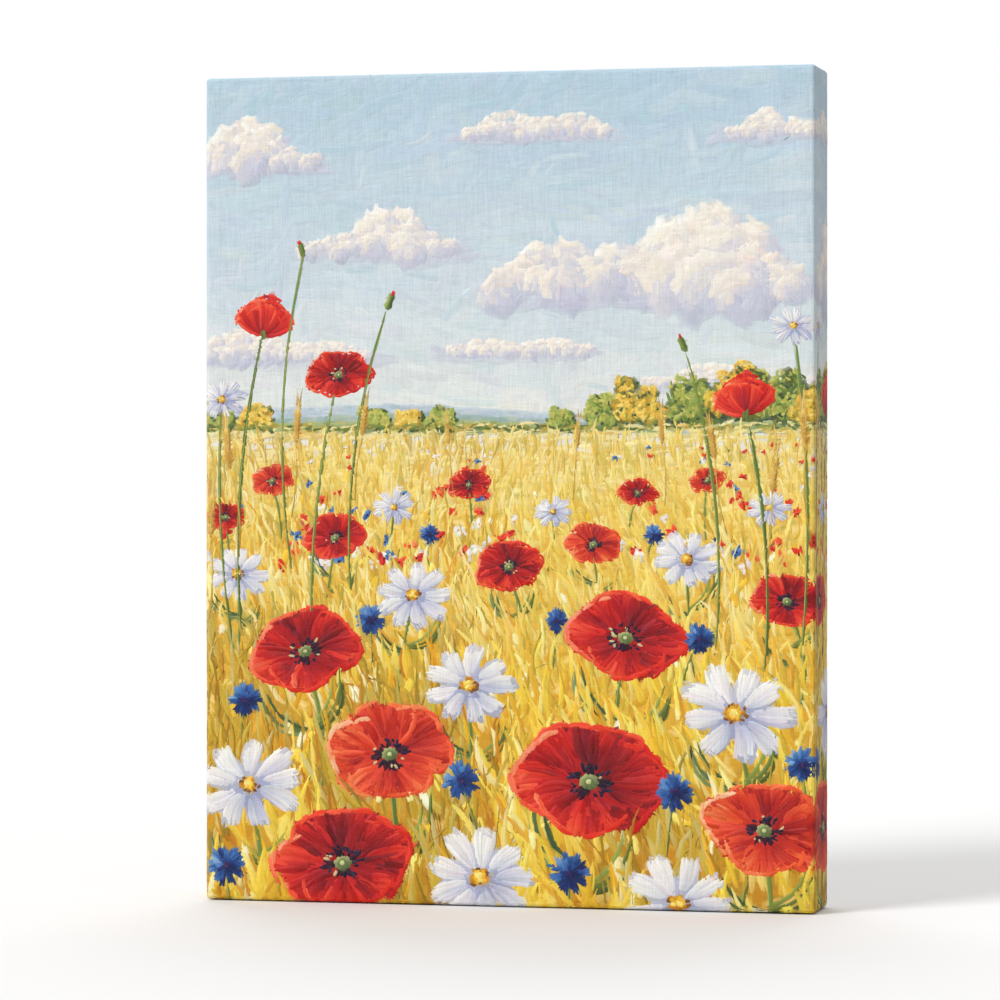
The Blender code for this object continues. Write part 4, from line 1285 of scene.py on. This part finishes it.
def make_cloth():
    xs, ys, zs = (cloth_lines(HALF[i], s) for i, s in ((0, 3.0), (1, 3.0), (2, 3.0)))
    v, f, c = [], [], []
    start = 0

    def patch(pos, colour, flip):
        nonlocal start
        n, m = pos.shape[:2]
        idx = np.arange(n * m).reshape(n, m) + start
        quad = np.stack([idx[:-1, :-1], idx[1:, :-1], idx[1:, 1:], idx[:-1, 1:]], -1).reshape(-1, 4)
        f.append(quad[:, ::-1] if flip else quad)
        v.append(pos.reshape(-1, 3))
        c.append(colour.reshape(-1, 3))
        start += n * m

    P, Q = np.meshgrid(xs, zs, indexing="ij")
    drop = np.full(P.shape, -CLOTH_DROP)
    patch(on_face("front", P, Q, drop), under_colour(P, Q), False)
    white = rgb(238, 236, 230)
    for side in ("right", "left", "top", "bottom"):
        along = zs if side in ("right", "left") else xs
        D, Q = np.meshgrid(ys, along, indexing="ij")
        d = D + SIDE / 2
        if side == "right":
            P2, Q2 = A - d, Q
        elif side == "left":
            P2, Q2 = d - A, Q
        elif side == "top":
            P2, Q2 = Q, B - d
        else:
            P2, Q2 = Q, d - B
        pos = on_face(side, D, Q, np.full(D.shape, -CLOTH_DROP)) if side in ("right", "left") else on_face(side, Q, D, np.full(D.shape, -CLOTH_DROP))
        patch(pos, under_colour(P2, Q2), side in ("left", "top"))
    # turned-in cloth on the back: a ring whose corners are mitred
    ins = np.concatenate([np.linspace(0, ARC, 4), np.linspace(ARC, PRINT_OVER, 3)[1:], np.array([PRINT_OVER + .05]), np.linspace(PRINT_OVER + .05, TURN_IN, 13)[1:]])
    for side in ("right", "left", "top", "bottom"):
        long = B if side in ("right", "left") else A
        lines = cloth_lines(HALF[2] if side in ("right", "left") else HALF[0], 1.6)
        D, L = np.meshgrid(ins, lines, indexing="ij")
        cut = .35 * np.sin(L * .041 + len(side)) + .22 * np.sin(L * .13 + 2 * len(side)) + .10 * np.sin(L * .9)
        D = D + cut * np.clip((D - PRINT_OVER - .1) / (TURN_IN - PRINT_OVER), 0, 1) * np.clip((long - np.abs(L) - 22) / 10, 0, 1)
        # the ring narrows towards the opening, so its ends stay on the mitre
        Lm = np.where(np.abs(L) > long - TURN_IN - 6, np.sign(L) * (long - D) - np.sign(L) * (long - np.abs(L)) * (1 - D / (TURN_IN + 6)), L)
        if side == "right":
            a, b_ = A - D, Lm
        elif side == "left":
            a, b_ = -(A - D), Lm
        elif side == "top":
            a, b_ = Lm, B - D
        else:
            a, b_ = Lm, -(B - D)
        if side == "right":
            P2, Q2 = A - SIDE - D, Lm
        elif side == "left":
            P2, Q2 = -(A - SIDE - D), Lm
        elif side == "top":
            P2, Q2 = Lm, B - SIDE - D
        else:
            P2, Q2 = Lm, -(B - SIDE - D)
        col = under_colour(P2, Q2)
        col[D > PRINT_OVER + .01] = white
        patch(on_face("back", a, b_, -CLOTH_DROP - dents(a, b_) - folded("back", a, b_)), col, side in ("right", "bottom"))
    v, f, c = np.concatenate(v), np.concatenate(f), np.concatenate(c)
    o = quads_object("canvas_cloth", v, f, c)
    bm = bmesh.new()
    bm.from_mesh(o.data)
    bmesh.ops.remove_doubles(bm, verts=bm.verts, dist=2e-6)
    bmesh.ops.dissolve_degenerate(bm, edges=bm.edges, dist=1e-7)
    bmesh.ops.recalc_face_normals(bm, faces=bm.faces)
    bm.to_mesh(o.data)
    bm.free()
    return o


def cloth_material():
    m, nt, shader = new_material("printed_cloth")
    att = node(nt, "ShaderNodeAttribute", attribute_name="paint")
    linen = threads(nt)
    # the threads lighten and darken the print's colour: uneven yarn, and painted highlight and shade of the weave's
    # ridges
    nt.links.new(tinted(nt, att.outputs["Color"], linen, .045), shader.inputs["Base Color"])
    shader.inputs["Roughness"].default_value = .72
    shader.inputs["Specular IOR Level"].default_value = .2
    b0 = node(nt, "ShaderNodeBump")
    b0.inputs["Distance"].default_value = .03 * MM
    nt.links.new(linen, b0.inputs["Height"])
    b1 = node(nt, "ShaderNodeBump")
    b1.inputs["Distance"].default_value = .05 * MM
    nt.links.new(weave_height(nt), b1.inputs["Height"])
    nt.links.new(b0.outputs[0], b1.inputs["Normal"])
    nt.links.new(b1.outputs[0], shader.inputs["Normal"])
    return m


def calc(nt, how, *values):
    """A Math node on sockets and numbers."""
    n = nt.nodes.new("ShaderNodeMath")
    n.operation = how
    for i, v in enumerate(values):
        if isinstance(v, (int, float)):
            n.inputs[i].default_value = v
        else:
            nt.links.new(v, n.inputs[i])
    return n.outputs[0]


def millimetres(nt):
    """Place on the object, in mm, as three sockets."""
    tex = node(nt, "ShaderNodeTexCoord")
    sep = node(nt, "ShaderNodeSeparateXYZ")
    nt.links.new(tex.outputs["Object"], sep.inputs[0])
    return [calc(nt, "MULTIPLY", sep.outputs[i], 1000.0) for i in range(3)]


def noise_at(nt, u, v, w, scale, detail=2.0, shift=0.0):
    """Noise on three sockets, each with its own scale."""
    com = node(nt, "ShaderNodeCombineXYZ")
    for i, (s, k) in enumerate(zip((u, v, w), scale)):
        nt.links.new(calc(nt, "MULTIPLY_ADD", s, k, shift), com.inputs[i])
    nz = node(nt, "ShaderNodeTexNoise")
    nz.inputs["Scale"].default_value = 1.0
    nz.inputs["Detail"].default_value = detail
    nt.links.new(com.outputs[0], nz.inputs["Vector"])
    return nz


def colour_ramp(nt, value, stops):
    cr = node(nt, "ShaderNodeValToRGB")
    e = cr.color_ramp.elements
    while len(e) < len(stops):
        e.new(.5)
    for k, (place, c) in zip(e, stops):
        k.position = place
    for k, (place, c) in zip(e, stops):
        k.color = (*linear(c), 1)
    nt.links.new(value, cr.inputs[0])
    return cr.outputs["Color"]


def mixed(nt, a, b, fac):
    n = node(nt, "ShaderNodeMix", data_type="RGBA")
    nt.links.new(fac, n.inputs["Factor"])
    nt.links.new(a, n.inputs[6])
    nt.links.new(b, n.inputs[7])
    return n.outputs[2]


def bumped(nt, height, mm_high, under=None):
    b = node(nt, "ShaderNodeBump")
    b.inputs["Distance"].default_value = mm_high * MM
    nt.links.new(height, b.inputs["Height"])
    if under is not None:
        nt.links.new(under, b.inputs["Normal"])
    return b.outputs[0]


def raw_material():
    """The bare rear of the cloth: uneven off-white yarns, up and across, with a few thick ones."""
    m, nt, shader = new_material("raw_cloth")
    x, y, z = millimetres(nt)
    up = noise_at(nt, x, y, z, (1.25, 1.25, .05), 2.0).outputs["Fac"]
    over = noise_at(nt, x, y, z, (.05, .05, 1.25), 2.0, 9.0).outputs["Fac"]
    thick_up = calc(nt, "SMOOTH_MIN", calc(nt, "MAXIMUM", calc(nt, "MULTIPLY_ADD", noise_at(nt, x, y, z, (.55, .55, .018), 1.0, 31.0).outputs["Fac"], 9.0, -6.1), 0.0), 1.0, .2)
    thick_over = calc(nt, "SMOOTH_MIN", calc(nt, "MAXIMUM", calc(nt, "MULTIPLY_ADD", noise_at(nt, x, y, z, (.018, .018, .55), 1.0, 47.0).outputs["Fac"], 9.0, -6.1), 0.0), 1.0, .2)
    yarn = calc(nt, "ADD", calc(nt, "MULTIPLY", calc(nt, "ADD", up, over), .5), calc(nt, "MULTIPLY", calc(nt, "ADD", thick_up, thick_over), .10))
    cloud = noise_at(nt, x, y, z, (.012, .012, .012), 2.0, 5.0).outputs["Fac"]
    value = calc(nt, "MULTIPLY_ADD", cloud, .22, calc(nt, "MULTIPLY", yarn, .78))
    colour = colour_ramp(nt, value, [(.30, rgb(205, 195, 172)), (.46, rgb(226, 218, 199)), (.60, rgb(238, 232, 216)), (.78, rgb(246, 242, 231))])
    nt.links.new(colour, shader.inputs["Base Color"])
    shader.inputs["Roughness"].default_value = .92
    shader.inputs["Specular IOR Level"].default_value = .12
    nt.links.new(bumped(nt, weave_height(nt, .7, False), .06, bumped(nt, yarn, .30)), shader.inputs["Normal"])
    return m


def timber_material(name, along, seed, light, dark, middle, pitch=2.7, knots=(), turn=0.0):
    """Planed softwood: year rings cut along the grain, fibres, resin flecks and knots."""
    m, nt, shader = new_material(name)
    x, y, z = millimetres(nt)
    u, w = (x, z) if along == "X" else (z, x)
    v = y
    wander = noise_at(nt, u, v, w, (.0075, .022, .026), 2.0, seed * 7.31)
    sep = node(nt, "ShaderNodeSeparateColor")
    nt.links.new(wander.outputs["Color"], sep.inputs[0])
    v2 = calc(nt, "MULTIPLY_ADD", sep.outputs[0], 15.0, v)
    w2 = calc(nt, "MULTIPLY_ADD", sep.outputs[1], 12.0, w)
    v0, w0 = -20 + 44 * math.sin(turn), middle + 44 * math.cos(turn)
    dv, dw = calc(nt, "SUBTRACT", v2, v0), calc(nt, "SUBTRACT", w2, w0)
    r = calc(nt, "SQRT", calc(nt, "ADD", calc(nt, "MULTIPLY", dv, dv), calc(nt, "MULTIPLY", dw, dw)))
    shades = []
    for uk, wk, size in knots:
        du = calc(nt, "MULTIPLY", calc(nt, "SUBTRACT", u, uk), 1 / (size * 1.35))
        dk = calc(nt, "MULTIPLY", calc(nt, "SUBTRACT", w, wk), 1 / size)
        d2 = calc(nt, "ADD", calc(nt, "MULTIPLY", du, du), calc(nt, "MULTIPLY", dk, dk))
        swell = calc(nt, "POWER", 2.718, calc(nt, "MULTIPLY", d2, -.16))
        r = calc(nt, "MULTIPLY_ADD", swell, 2.6 * size, r)
        shades.append(calc(nt, "SQRT", d2))
    uneven = noise_at(nt, calc(nt, "MULTIPLY", r, 1.0), calc(nt, "MULTIPLY", r, .1), calc(nt, "MULTIPLY", r, .3), (.16, .16, .16), 1.0, seed).outputs["Fac"]
    phase = calc(nt, "MULTIPLY_ADD", uneven, 2.2, calc(nt, "MULTIPLY", r, 1 / pitch))
    ring = calc(nt, "FRACT", phase)
    colour = colour_ramp(nt, ring, [(0.0, mix(light, dark, .10)), (.12, light), (.52, mix(light, dark, .22)), (.80, mix(light, dark, .72)),
                                    (.93, dark), (1.0, mix(light, dark, .35))])
    fibre = noise_at(nt, u, v, w, (.045, 2.3, 2.3), 3.0, seed).outputs["Fac"]
    fleck = noise_at(nt, u, v, w, (.22, 4.6, 4.6), 1.0, seed + 3).outputs["Fac"]
    fleck = calc(nt, "MINIMUM", calc(nt, "MAXIMUM", calc(nt, "MULTIPLY_ADD", fleck, 14.0, -9.6), 0.0), 1.0)
    cloud = noise_at(nt, u, v, w, (.012, .05, .05), 2.0, seed + 11).outputs["Fac"]
    tone = calc(nt, "ADD", calc(nt, "MULTIPLY_ADD", fibre, 1.0, -.5), calc(nt, "MULTIPLY_ADD", cloud, .9, -.45))
    tone = calc(nt, "MULTIPLY_ADD", fleck, -.55, tone)
    colour = tinted(nt, colour, tone, .34)
    for d in shades:
        core = colour_ramp(nt, calc(nt, "MULTIPLY", calc(nt, "MULTIPLY_ADD", fibre, .22, d), .6), [
            (0.0, rgb(104, 64, 34)), (.16, rgb(132, 84, 44)), (.30, rgb(170, 116, 66)), (.46, rgb(150, 96, 52)), (.60, rgb(112, 68, 36)), (.72, rgb(178, 128, 78))])
        colour = mixed(nt, colour, core, calc(nt, "MINIMUM", calc(nt, "MAXIMUM", calc(nt, "MULTIPLY_ADD", d, -7.0, 7.4), 0.0), 1.0))
    nt.links.new(colour, shader.inputs["Base Color"])
    nt.links.new(calc(nt, "MULTIPLY_ADD", ring, -.10, calc(nt, "MULTIPLY_ADD", fibre, .16, .58)), shader.inputs["Roughness"])
    shader.inputs["Specular IOR Level"].default_value = .3
    nt.links.new(bumped(nt, fibre, .09, bumped(nt, ring, .035)), shader.inputs["Normal"])
    return m


def zinc_material(along="X"):
    """Bright zinc plate, with the faint drawn lines of the strip and duller clouds."""
    m, nt, shader = new_material("zinc_plate_" + along.lower())
    x, y, z = millimetres(nt)
    cloud = noise_at(nt, x, y, z, (.35, .35, .35), 3.0).outputs["Fac"]
    line = noise_at(nt, x, y, z, (.10, 6.0, 6.0) if along == "X" else (6.0, 6.0, .10), 2.0, 3.0).outputs["Fac"]
    value = calc(nt, "MULTIPLY_ADD", cloud, .7, calc(nt, "MULTIPLY", line, .3))
    nt.links.new(colour_ramp(nt, value, [(.30, rgb(176, 177, 176)), (.50, rgb(205, 205, 202)), (.72, rgb(226, 225, 219))]), shader.inputs["Base Color"])
    shader.inputs["Metallic"].default_value = 1.0
    nt.links.new(calc(nt, "MULTIPLY_ADD", value, -.34, .50), shader.inputs["Roughness"])
    nt.links.new(bumped(nt, line, .012, bumped(nt, cloud, .02)), shader.inputs["Normal"])
    return m


def rubber_material():
    m, nt, shader = new_material("pad_rubber")
    x, y, z = millimetres(nt)
    grain = noise_at(nt, x, y, z, (3.2, 3.2, 3.2), 2.0).outputs["Fac"]
    dust = noise_at(nt, x, y, z, (.5, .5, .5), 3.0, 8.0).outputs["Fac"]
    value = calc(nt, "MULTIPLY_ADD", dust, .7, calc(nt, "MULTIPLY", grain, .3))
    nt.links.new(colour_ramp(nt, value, [(.35, rgb(40, 40, 42)), (.55, rgb(54, 54, 56)), (.75, rgb(78, 77, 75))]), shader.inputs["Base Color"])
    nt.links.new(calc(nt, "MULTIPLY_ADD", value, .25, .62), shader.inputs["Roughness"])
    nt.links.new(bumped(nt, grain, .05), shader.inputs["Normal"])
    return m


def make_folds():
    """The top and bottom flaps lie over the side flaps: a slanting folded edge and the layers under it, in four corners."""
    t = np.array([-.30, -.05, .05, .15, .25, .40, .8, 1.6, 3.0, 5.0, 7.5, 9.5, 11.0, 11.8, 12.6, 13.4, 14.2])
    d = np.concatenate([[.9, 1.2, 1.6, 2.0, 2.6, 3.4, 4.4, PRINT_OVER, PRINT_OVER + .05], np.linspace(7, TURN_IN - .15, 9), [TURN_IN, TURN_IN + .08, TURN_IN + .1]])
    T, D = np.meshgrid(t, d, indexing="ij")
    v, f, c = [], [], []
    start = 0
    n, m = T.shape
    idx = np.arange(n * m).reshape(n, m)
    quad = np.stack([idx[:-1, :-1], idx[1:, :-1], idx[1:, 1:], idx[:-1, 1:]], -1).reshape(-1, 4)
    for sx in (-1, 1):
        for sz in (-1, 1):
            r = np.random.default_rng(60 + 2 * sx + sz)
            a = sx * (A - (T + D))
            b_ = sz * (B - D + 0 * T)
            h = np.where(D > TURN_IN + .09, -.62, -CLOTH_DROP - .05 - .9 * dents(a, b_)) + np.where(D > TURN_IN - .01, -.06, 0)
            h = h + r.normal(0, .006, h.shape)
            col = under_colour(a, sz * (B - SIDE - D))
            col[D > PRINT_OVER + .01] = rgb(238, 236, 230)
            v.append(on_face("back", a, b_, h).reshape(-1, 3))
            c.append(col.reshape(-1, 3))
            f.append((quad if sx * sz < 0 else quad[:, ::-1]) + start)
            start += n * m
    return quads_object("corner_folds", *(np.concatenate(k) for k in (v, f, c)))


def make_staples():
    """Flat-wire staples pressed into the turned-in cloth."""
    r = np.random.default_rng(56)
    half, corner = 5.2, .6
    arc = [(corner * math.cos(k), corner * math.sin(k)) for k in np.linspace(math.pi, math.pi / 2, 5)]
    path = [(-half, -2.7)] + [(-half + corner + x, -corner + y) for x, y in arc] + [(-2.4, .03), (0.0, .045)]
    path = np.array(path + [(-x, y) for x, y in path[-2::-1]])
    wide, thick, bevel = .56, .29, .12
    ring = np.array([(-wide, -thick + bevel), (-wide, thick - bevel), (-wide + bevel, thick), (wide - bevel, thick),
                     (wide, thick - bevel), (wide, -thick + bevel), (wide - bevel, -thick), (-wide + bevel, -thick)])
    step = np.gradient(path, axis=0)
    step /= np.linalg.norm(step, axis=1, keepdims=True)
    out = np.stack([-step[:, 1], step[:, 0]], 1)                       # away from the timber
    v, f = [], []
    n, m = len(path), len(ring)
    idx = np.arange(n * m).reshape(n, m)
    nxt = np.roll(idx, -1, axis=1)
    quad = np.stack([idx[:-1], idx[1:], nxt[1:], nxt[:-1]], -1).reshape(-1, 4)
    for k, (x, z, turn) in enumerate(staple_places()):
        s = path[:, None, 0] + out[:, None, 0] * ring[None, :, 1]
        y = path[:, None, 1] + out[:, None, 1] * ring[None, :, 1]
        b = np.broadcast_to(ring[None, :, 0], s.shape)
        y = y + s * r.normal(0, .012)                                  # one leg a little deeper
        lift = MID[1] + HALF[1] + .20 + r.uniform(-.05, .05)
        if abs(abs(z) - B + A - abs(x) - 5) < 7 and abs(z) > B - TURN_IN:
            lift += FOLD * .8
        v.append(np.stack([MID[0] + x + s * math.cos(turn) - b * math.sin(turn), lift + y, MID[2] + z + s * math.sin(turn) + b * math.cos(turn)], -1).reshape(-1, 3) * MM)
        f.append(quad + k * n * m)
    o = quads_object("staples", np.concatenate(v), np.concatenate(f))
    bm = bmesh.new()
    bm.from_mesh(o.data)
    bmesh.ops.holes_fill(bm, edges=[e for e in bm.edges if e.is_boundary])
    bmesh.ops.recalc_face_normals(bm, faces=bm.faces)
    bm.to_mesh(o.data)
    bm.free()
    o.data.shade_smooth()
    o.data.set_sharp_from_angle(angle=math.radians(50))
    return o


cloth = make_cloth()
cloth.data.materials.append(cloth_material())
cloth.data.materials.append(raw_material())
thick = cloth.modifiers.new("thickness", "SOLIDIFY")
thick.thickness = .0004
thick.offset = -1
thick.material_offset = 1
thick.material_offset_rim = 1
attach(cloth, "root")
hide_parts("canvas")
folds = make_folds()
folds.data.materials.append(cloth.data.materials[0])
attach(folds, "root")

# ------------------------------------------------------------------ timber, metal and rubber of the back
LIGHT_PINE, DARK_PINE = rgb(234, 208, 166), rgb(204, 157, 101)
KNOTS = {"bar_top": [(-71, 0.5, 4.0)], "bar_bottom": [(44, -356, 4.6), (-38, -352, 1.7)],
         "bar_left": [(-96, -127, 4.4), (-287, -130, 2.2)], "bar_right": [(-214, 128, 5.0)]}
zinc = zinc_material("X")
rubber = rubber_material()
for k, name in enumerate(sorted(nodes)):
    low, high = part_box(name)
    if name.startswith("bar_"):
        along = "X" if name in ("bar_top", "bar_bottom") else "Z"
        axis = 2 if along == "X" else 0
        made = timber_material("timber_" + name, along, k + 1.3, LIGHT_PINE + (k % 3 - 1) * 2.5, DARK_PINE + (k % 2) * 4.0,
                               (low[axis] + high[axis]) / 2 / MM, 2.0 + .25 * (k % 3), KNOTS[name],
                               {"bar_top": .75, "bar_bottom": 2.2, "bar_left": 1.05, "bar_right": 2.6}[name])
    elif name.startswith("key_"):
        along = "X" if name.endswith("across") else "Z"
        axis = 2 if along == "X" else 0
        made = timber_material("timber_" + name, along, k + .6, rgb(240, 219, 182), rgb(214, 176, 124), (low[axis] + high[axis]) / 2 / MM, 1.5, (), 1.9 * k)
    elif name.startswith("wall_pad"):
        made = rubber
    elif name == "canvas":
        continue
    else:
        made = zinc
    nodes[name].data.materials.clear()
    nodes[name].data.materials.append(made)
staples = make_staples()
staples.data.materials.append(zinc)
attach(staples, "root")

# ------------------------------------------------------------------ paint it
sky, cloud, land, grass, blooms, near, front, tall = (Brush(name, soft, cover) for name, soft, cover in (
    ("brushwork_sky", .85, .45), ("brushwork_clouds", .55, .95), ("brushwork_land", .45, .85),
    ("brushwork_grass", .35, .85), ("brushwork_blooms", .18, 1.0), ("brushwork_near", .30, .9), ("brushwork_front", .30, .9),
    ("brushwork_tall", .15, 1.0)))
paint_sky(sky)
paint_clouds(cloud)
paint_hills(land)
paint_field(land)
paint_trees(land)
paint_meadow(grass, blooms, near, front)
paint_tall(tall)
print(len(ORDER), "strokes")
coat = paint_material("brushwork")
painted = stroke_pieces()
for o in painted:
    o.data.materials.append(coat)
    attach(o, "root")

# ------------------------------------------------------------------ studio
white, nt, shader = new_material("studio_floor")
shader.inputs["Base Color"].default_value = (.862, .862, .862, 1)
shader.inputs["Roughness"].default_value = 1.0
shader.inputs["Specular IOR Level"].default_value = 0.0
dim = nt.nodes.new("ShaderNodeBsdfDiffuse")
dim.inputs["Color"].default_value = (.42, .42, .42, 1)
seen_by = nt.nodes.new("ShaderNodeLightPath")
both = nt.nodes.new("ShaderNodeMixShader")
nt.links.new(seen_by.outputs["Is Camera Ray"], both.inputs[0])
nt.links.new(dim.outputs[0], both.inputs[1])
nt.links.new(shader.outputs[0], both.inputs[2])
nt.links.new(both.outputs[0], nt.nodes["Material Output"].inputs["Surface"])
bpy.ops.mesh.primitive_plane_add(size=90, location=(0, 0, cad_low[2] - .0006))
floor = bpy.context.object
floor.name = "floor"
floor.data.materials.append(white)
floor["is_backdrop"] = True

world = bpy.data.worlds.new("studio")
scene.world = world
world.use_nodes = True
wn = world.node_tree
bg = wn.nodes["Background"]
bg.inputs["Color"].default_value = (1, 1, 1, 1)
bg.inputs["Strength"].default_value = .60
show = wn.nodes.new("ShaderNodeBackground")
show.inputs["Color"].default_value = (1, 1, 1, 1)
show.inputs["Strength"].default_value = 1.0
path = wn.nodes.new("ShaderNodeLightPath")
pickn = wn.nodes.new("ShaderNodeMixShader")
wn.links.new(path.outputs["Is Camera Ray"], pickn.inputs[0])
wn.links.new(bg.outputs[0], pickn.inputs[1])
wn.links.new(show.outputs[0], pickn.inputs[2])
wn.links.new(pickn.outputs[0], wn.nodes["World Output"].inputs["Surface"])


def sun(name, way, strength, spread, colour=(1, 1, 1)):
    """Soft light that comes from one direction."""
    light = bpy.data.lights.new(name, "SUN")
    light.energy = strength
    light.angle = math.radians(spread)
    light.color = colour
    o = bpy.data.objects.new(name, light)
    scene.collection.objects.link(o)
    o.location = Vector(way).normalized() * 3
    o.rotation_euler = (-Vector(way)).to_track_quat("-Z", "Y").to_euler()
    return o


sun("key", (-1.35, -1.7, 1.25), 2.1, 24, (1.0, .995, .985))
sun("back", (-.35, 1.3, 1.5), 1.0, 44, (1.0, 1.0, 1.0))

cam_data = bpy.data.cameras.new("camera")
cam_data.sensor_width = 36
cam_data.lens = 148.79
cam = bpy.data.objects.new("camera", cam_data)
scene.collection.objects.link(cam)
aim = Vector((-.0025, (MID[1] - HALF[1]) * MM, -.1834))
az, el, far = math.radians(13.66), math.radians(.2305), 2.0122
cam.location = aim + far * Vector((math.sin(az) * math.cos(el), -math.cos(az) * math.cos(el), math.sin(el)))
cam.rotation_euler = (aim - cam.location).to_track_quat("-Z", "Y").to_euler()
scene.camera = cam
scene.view_settings.view_transform = "Standard"
scene.view_settings.look = "None"

low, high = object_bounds()
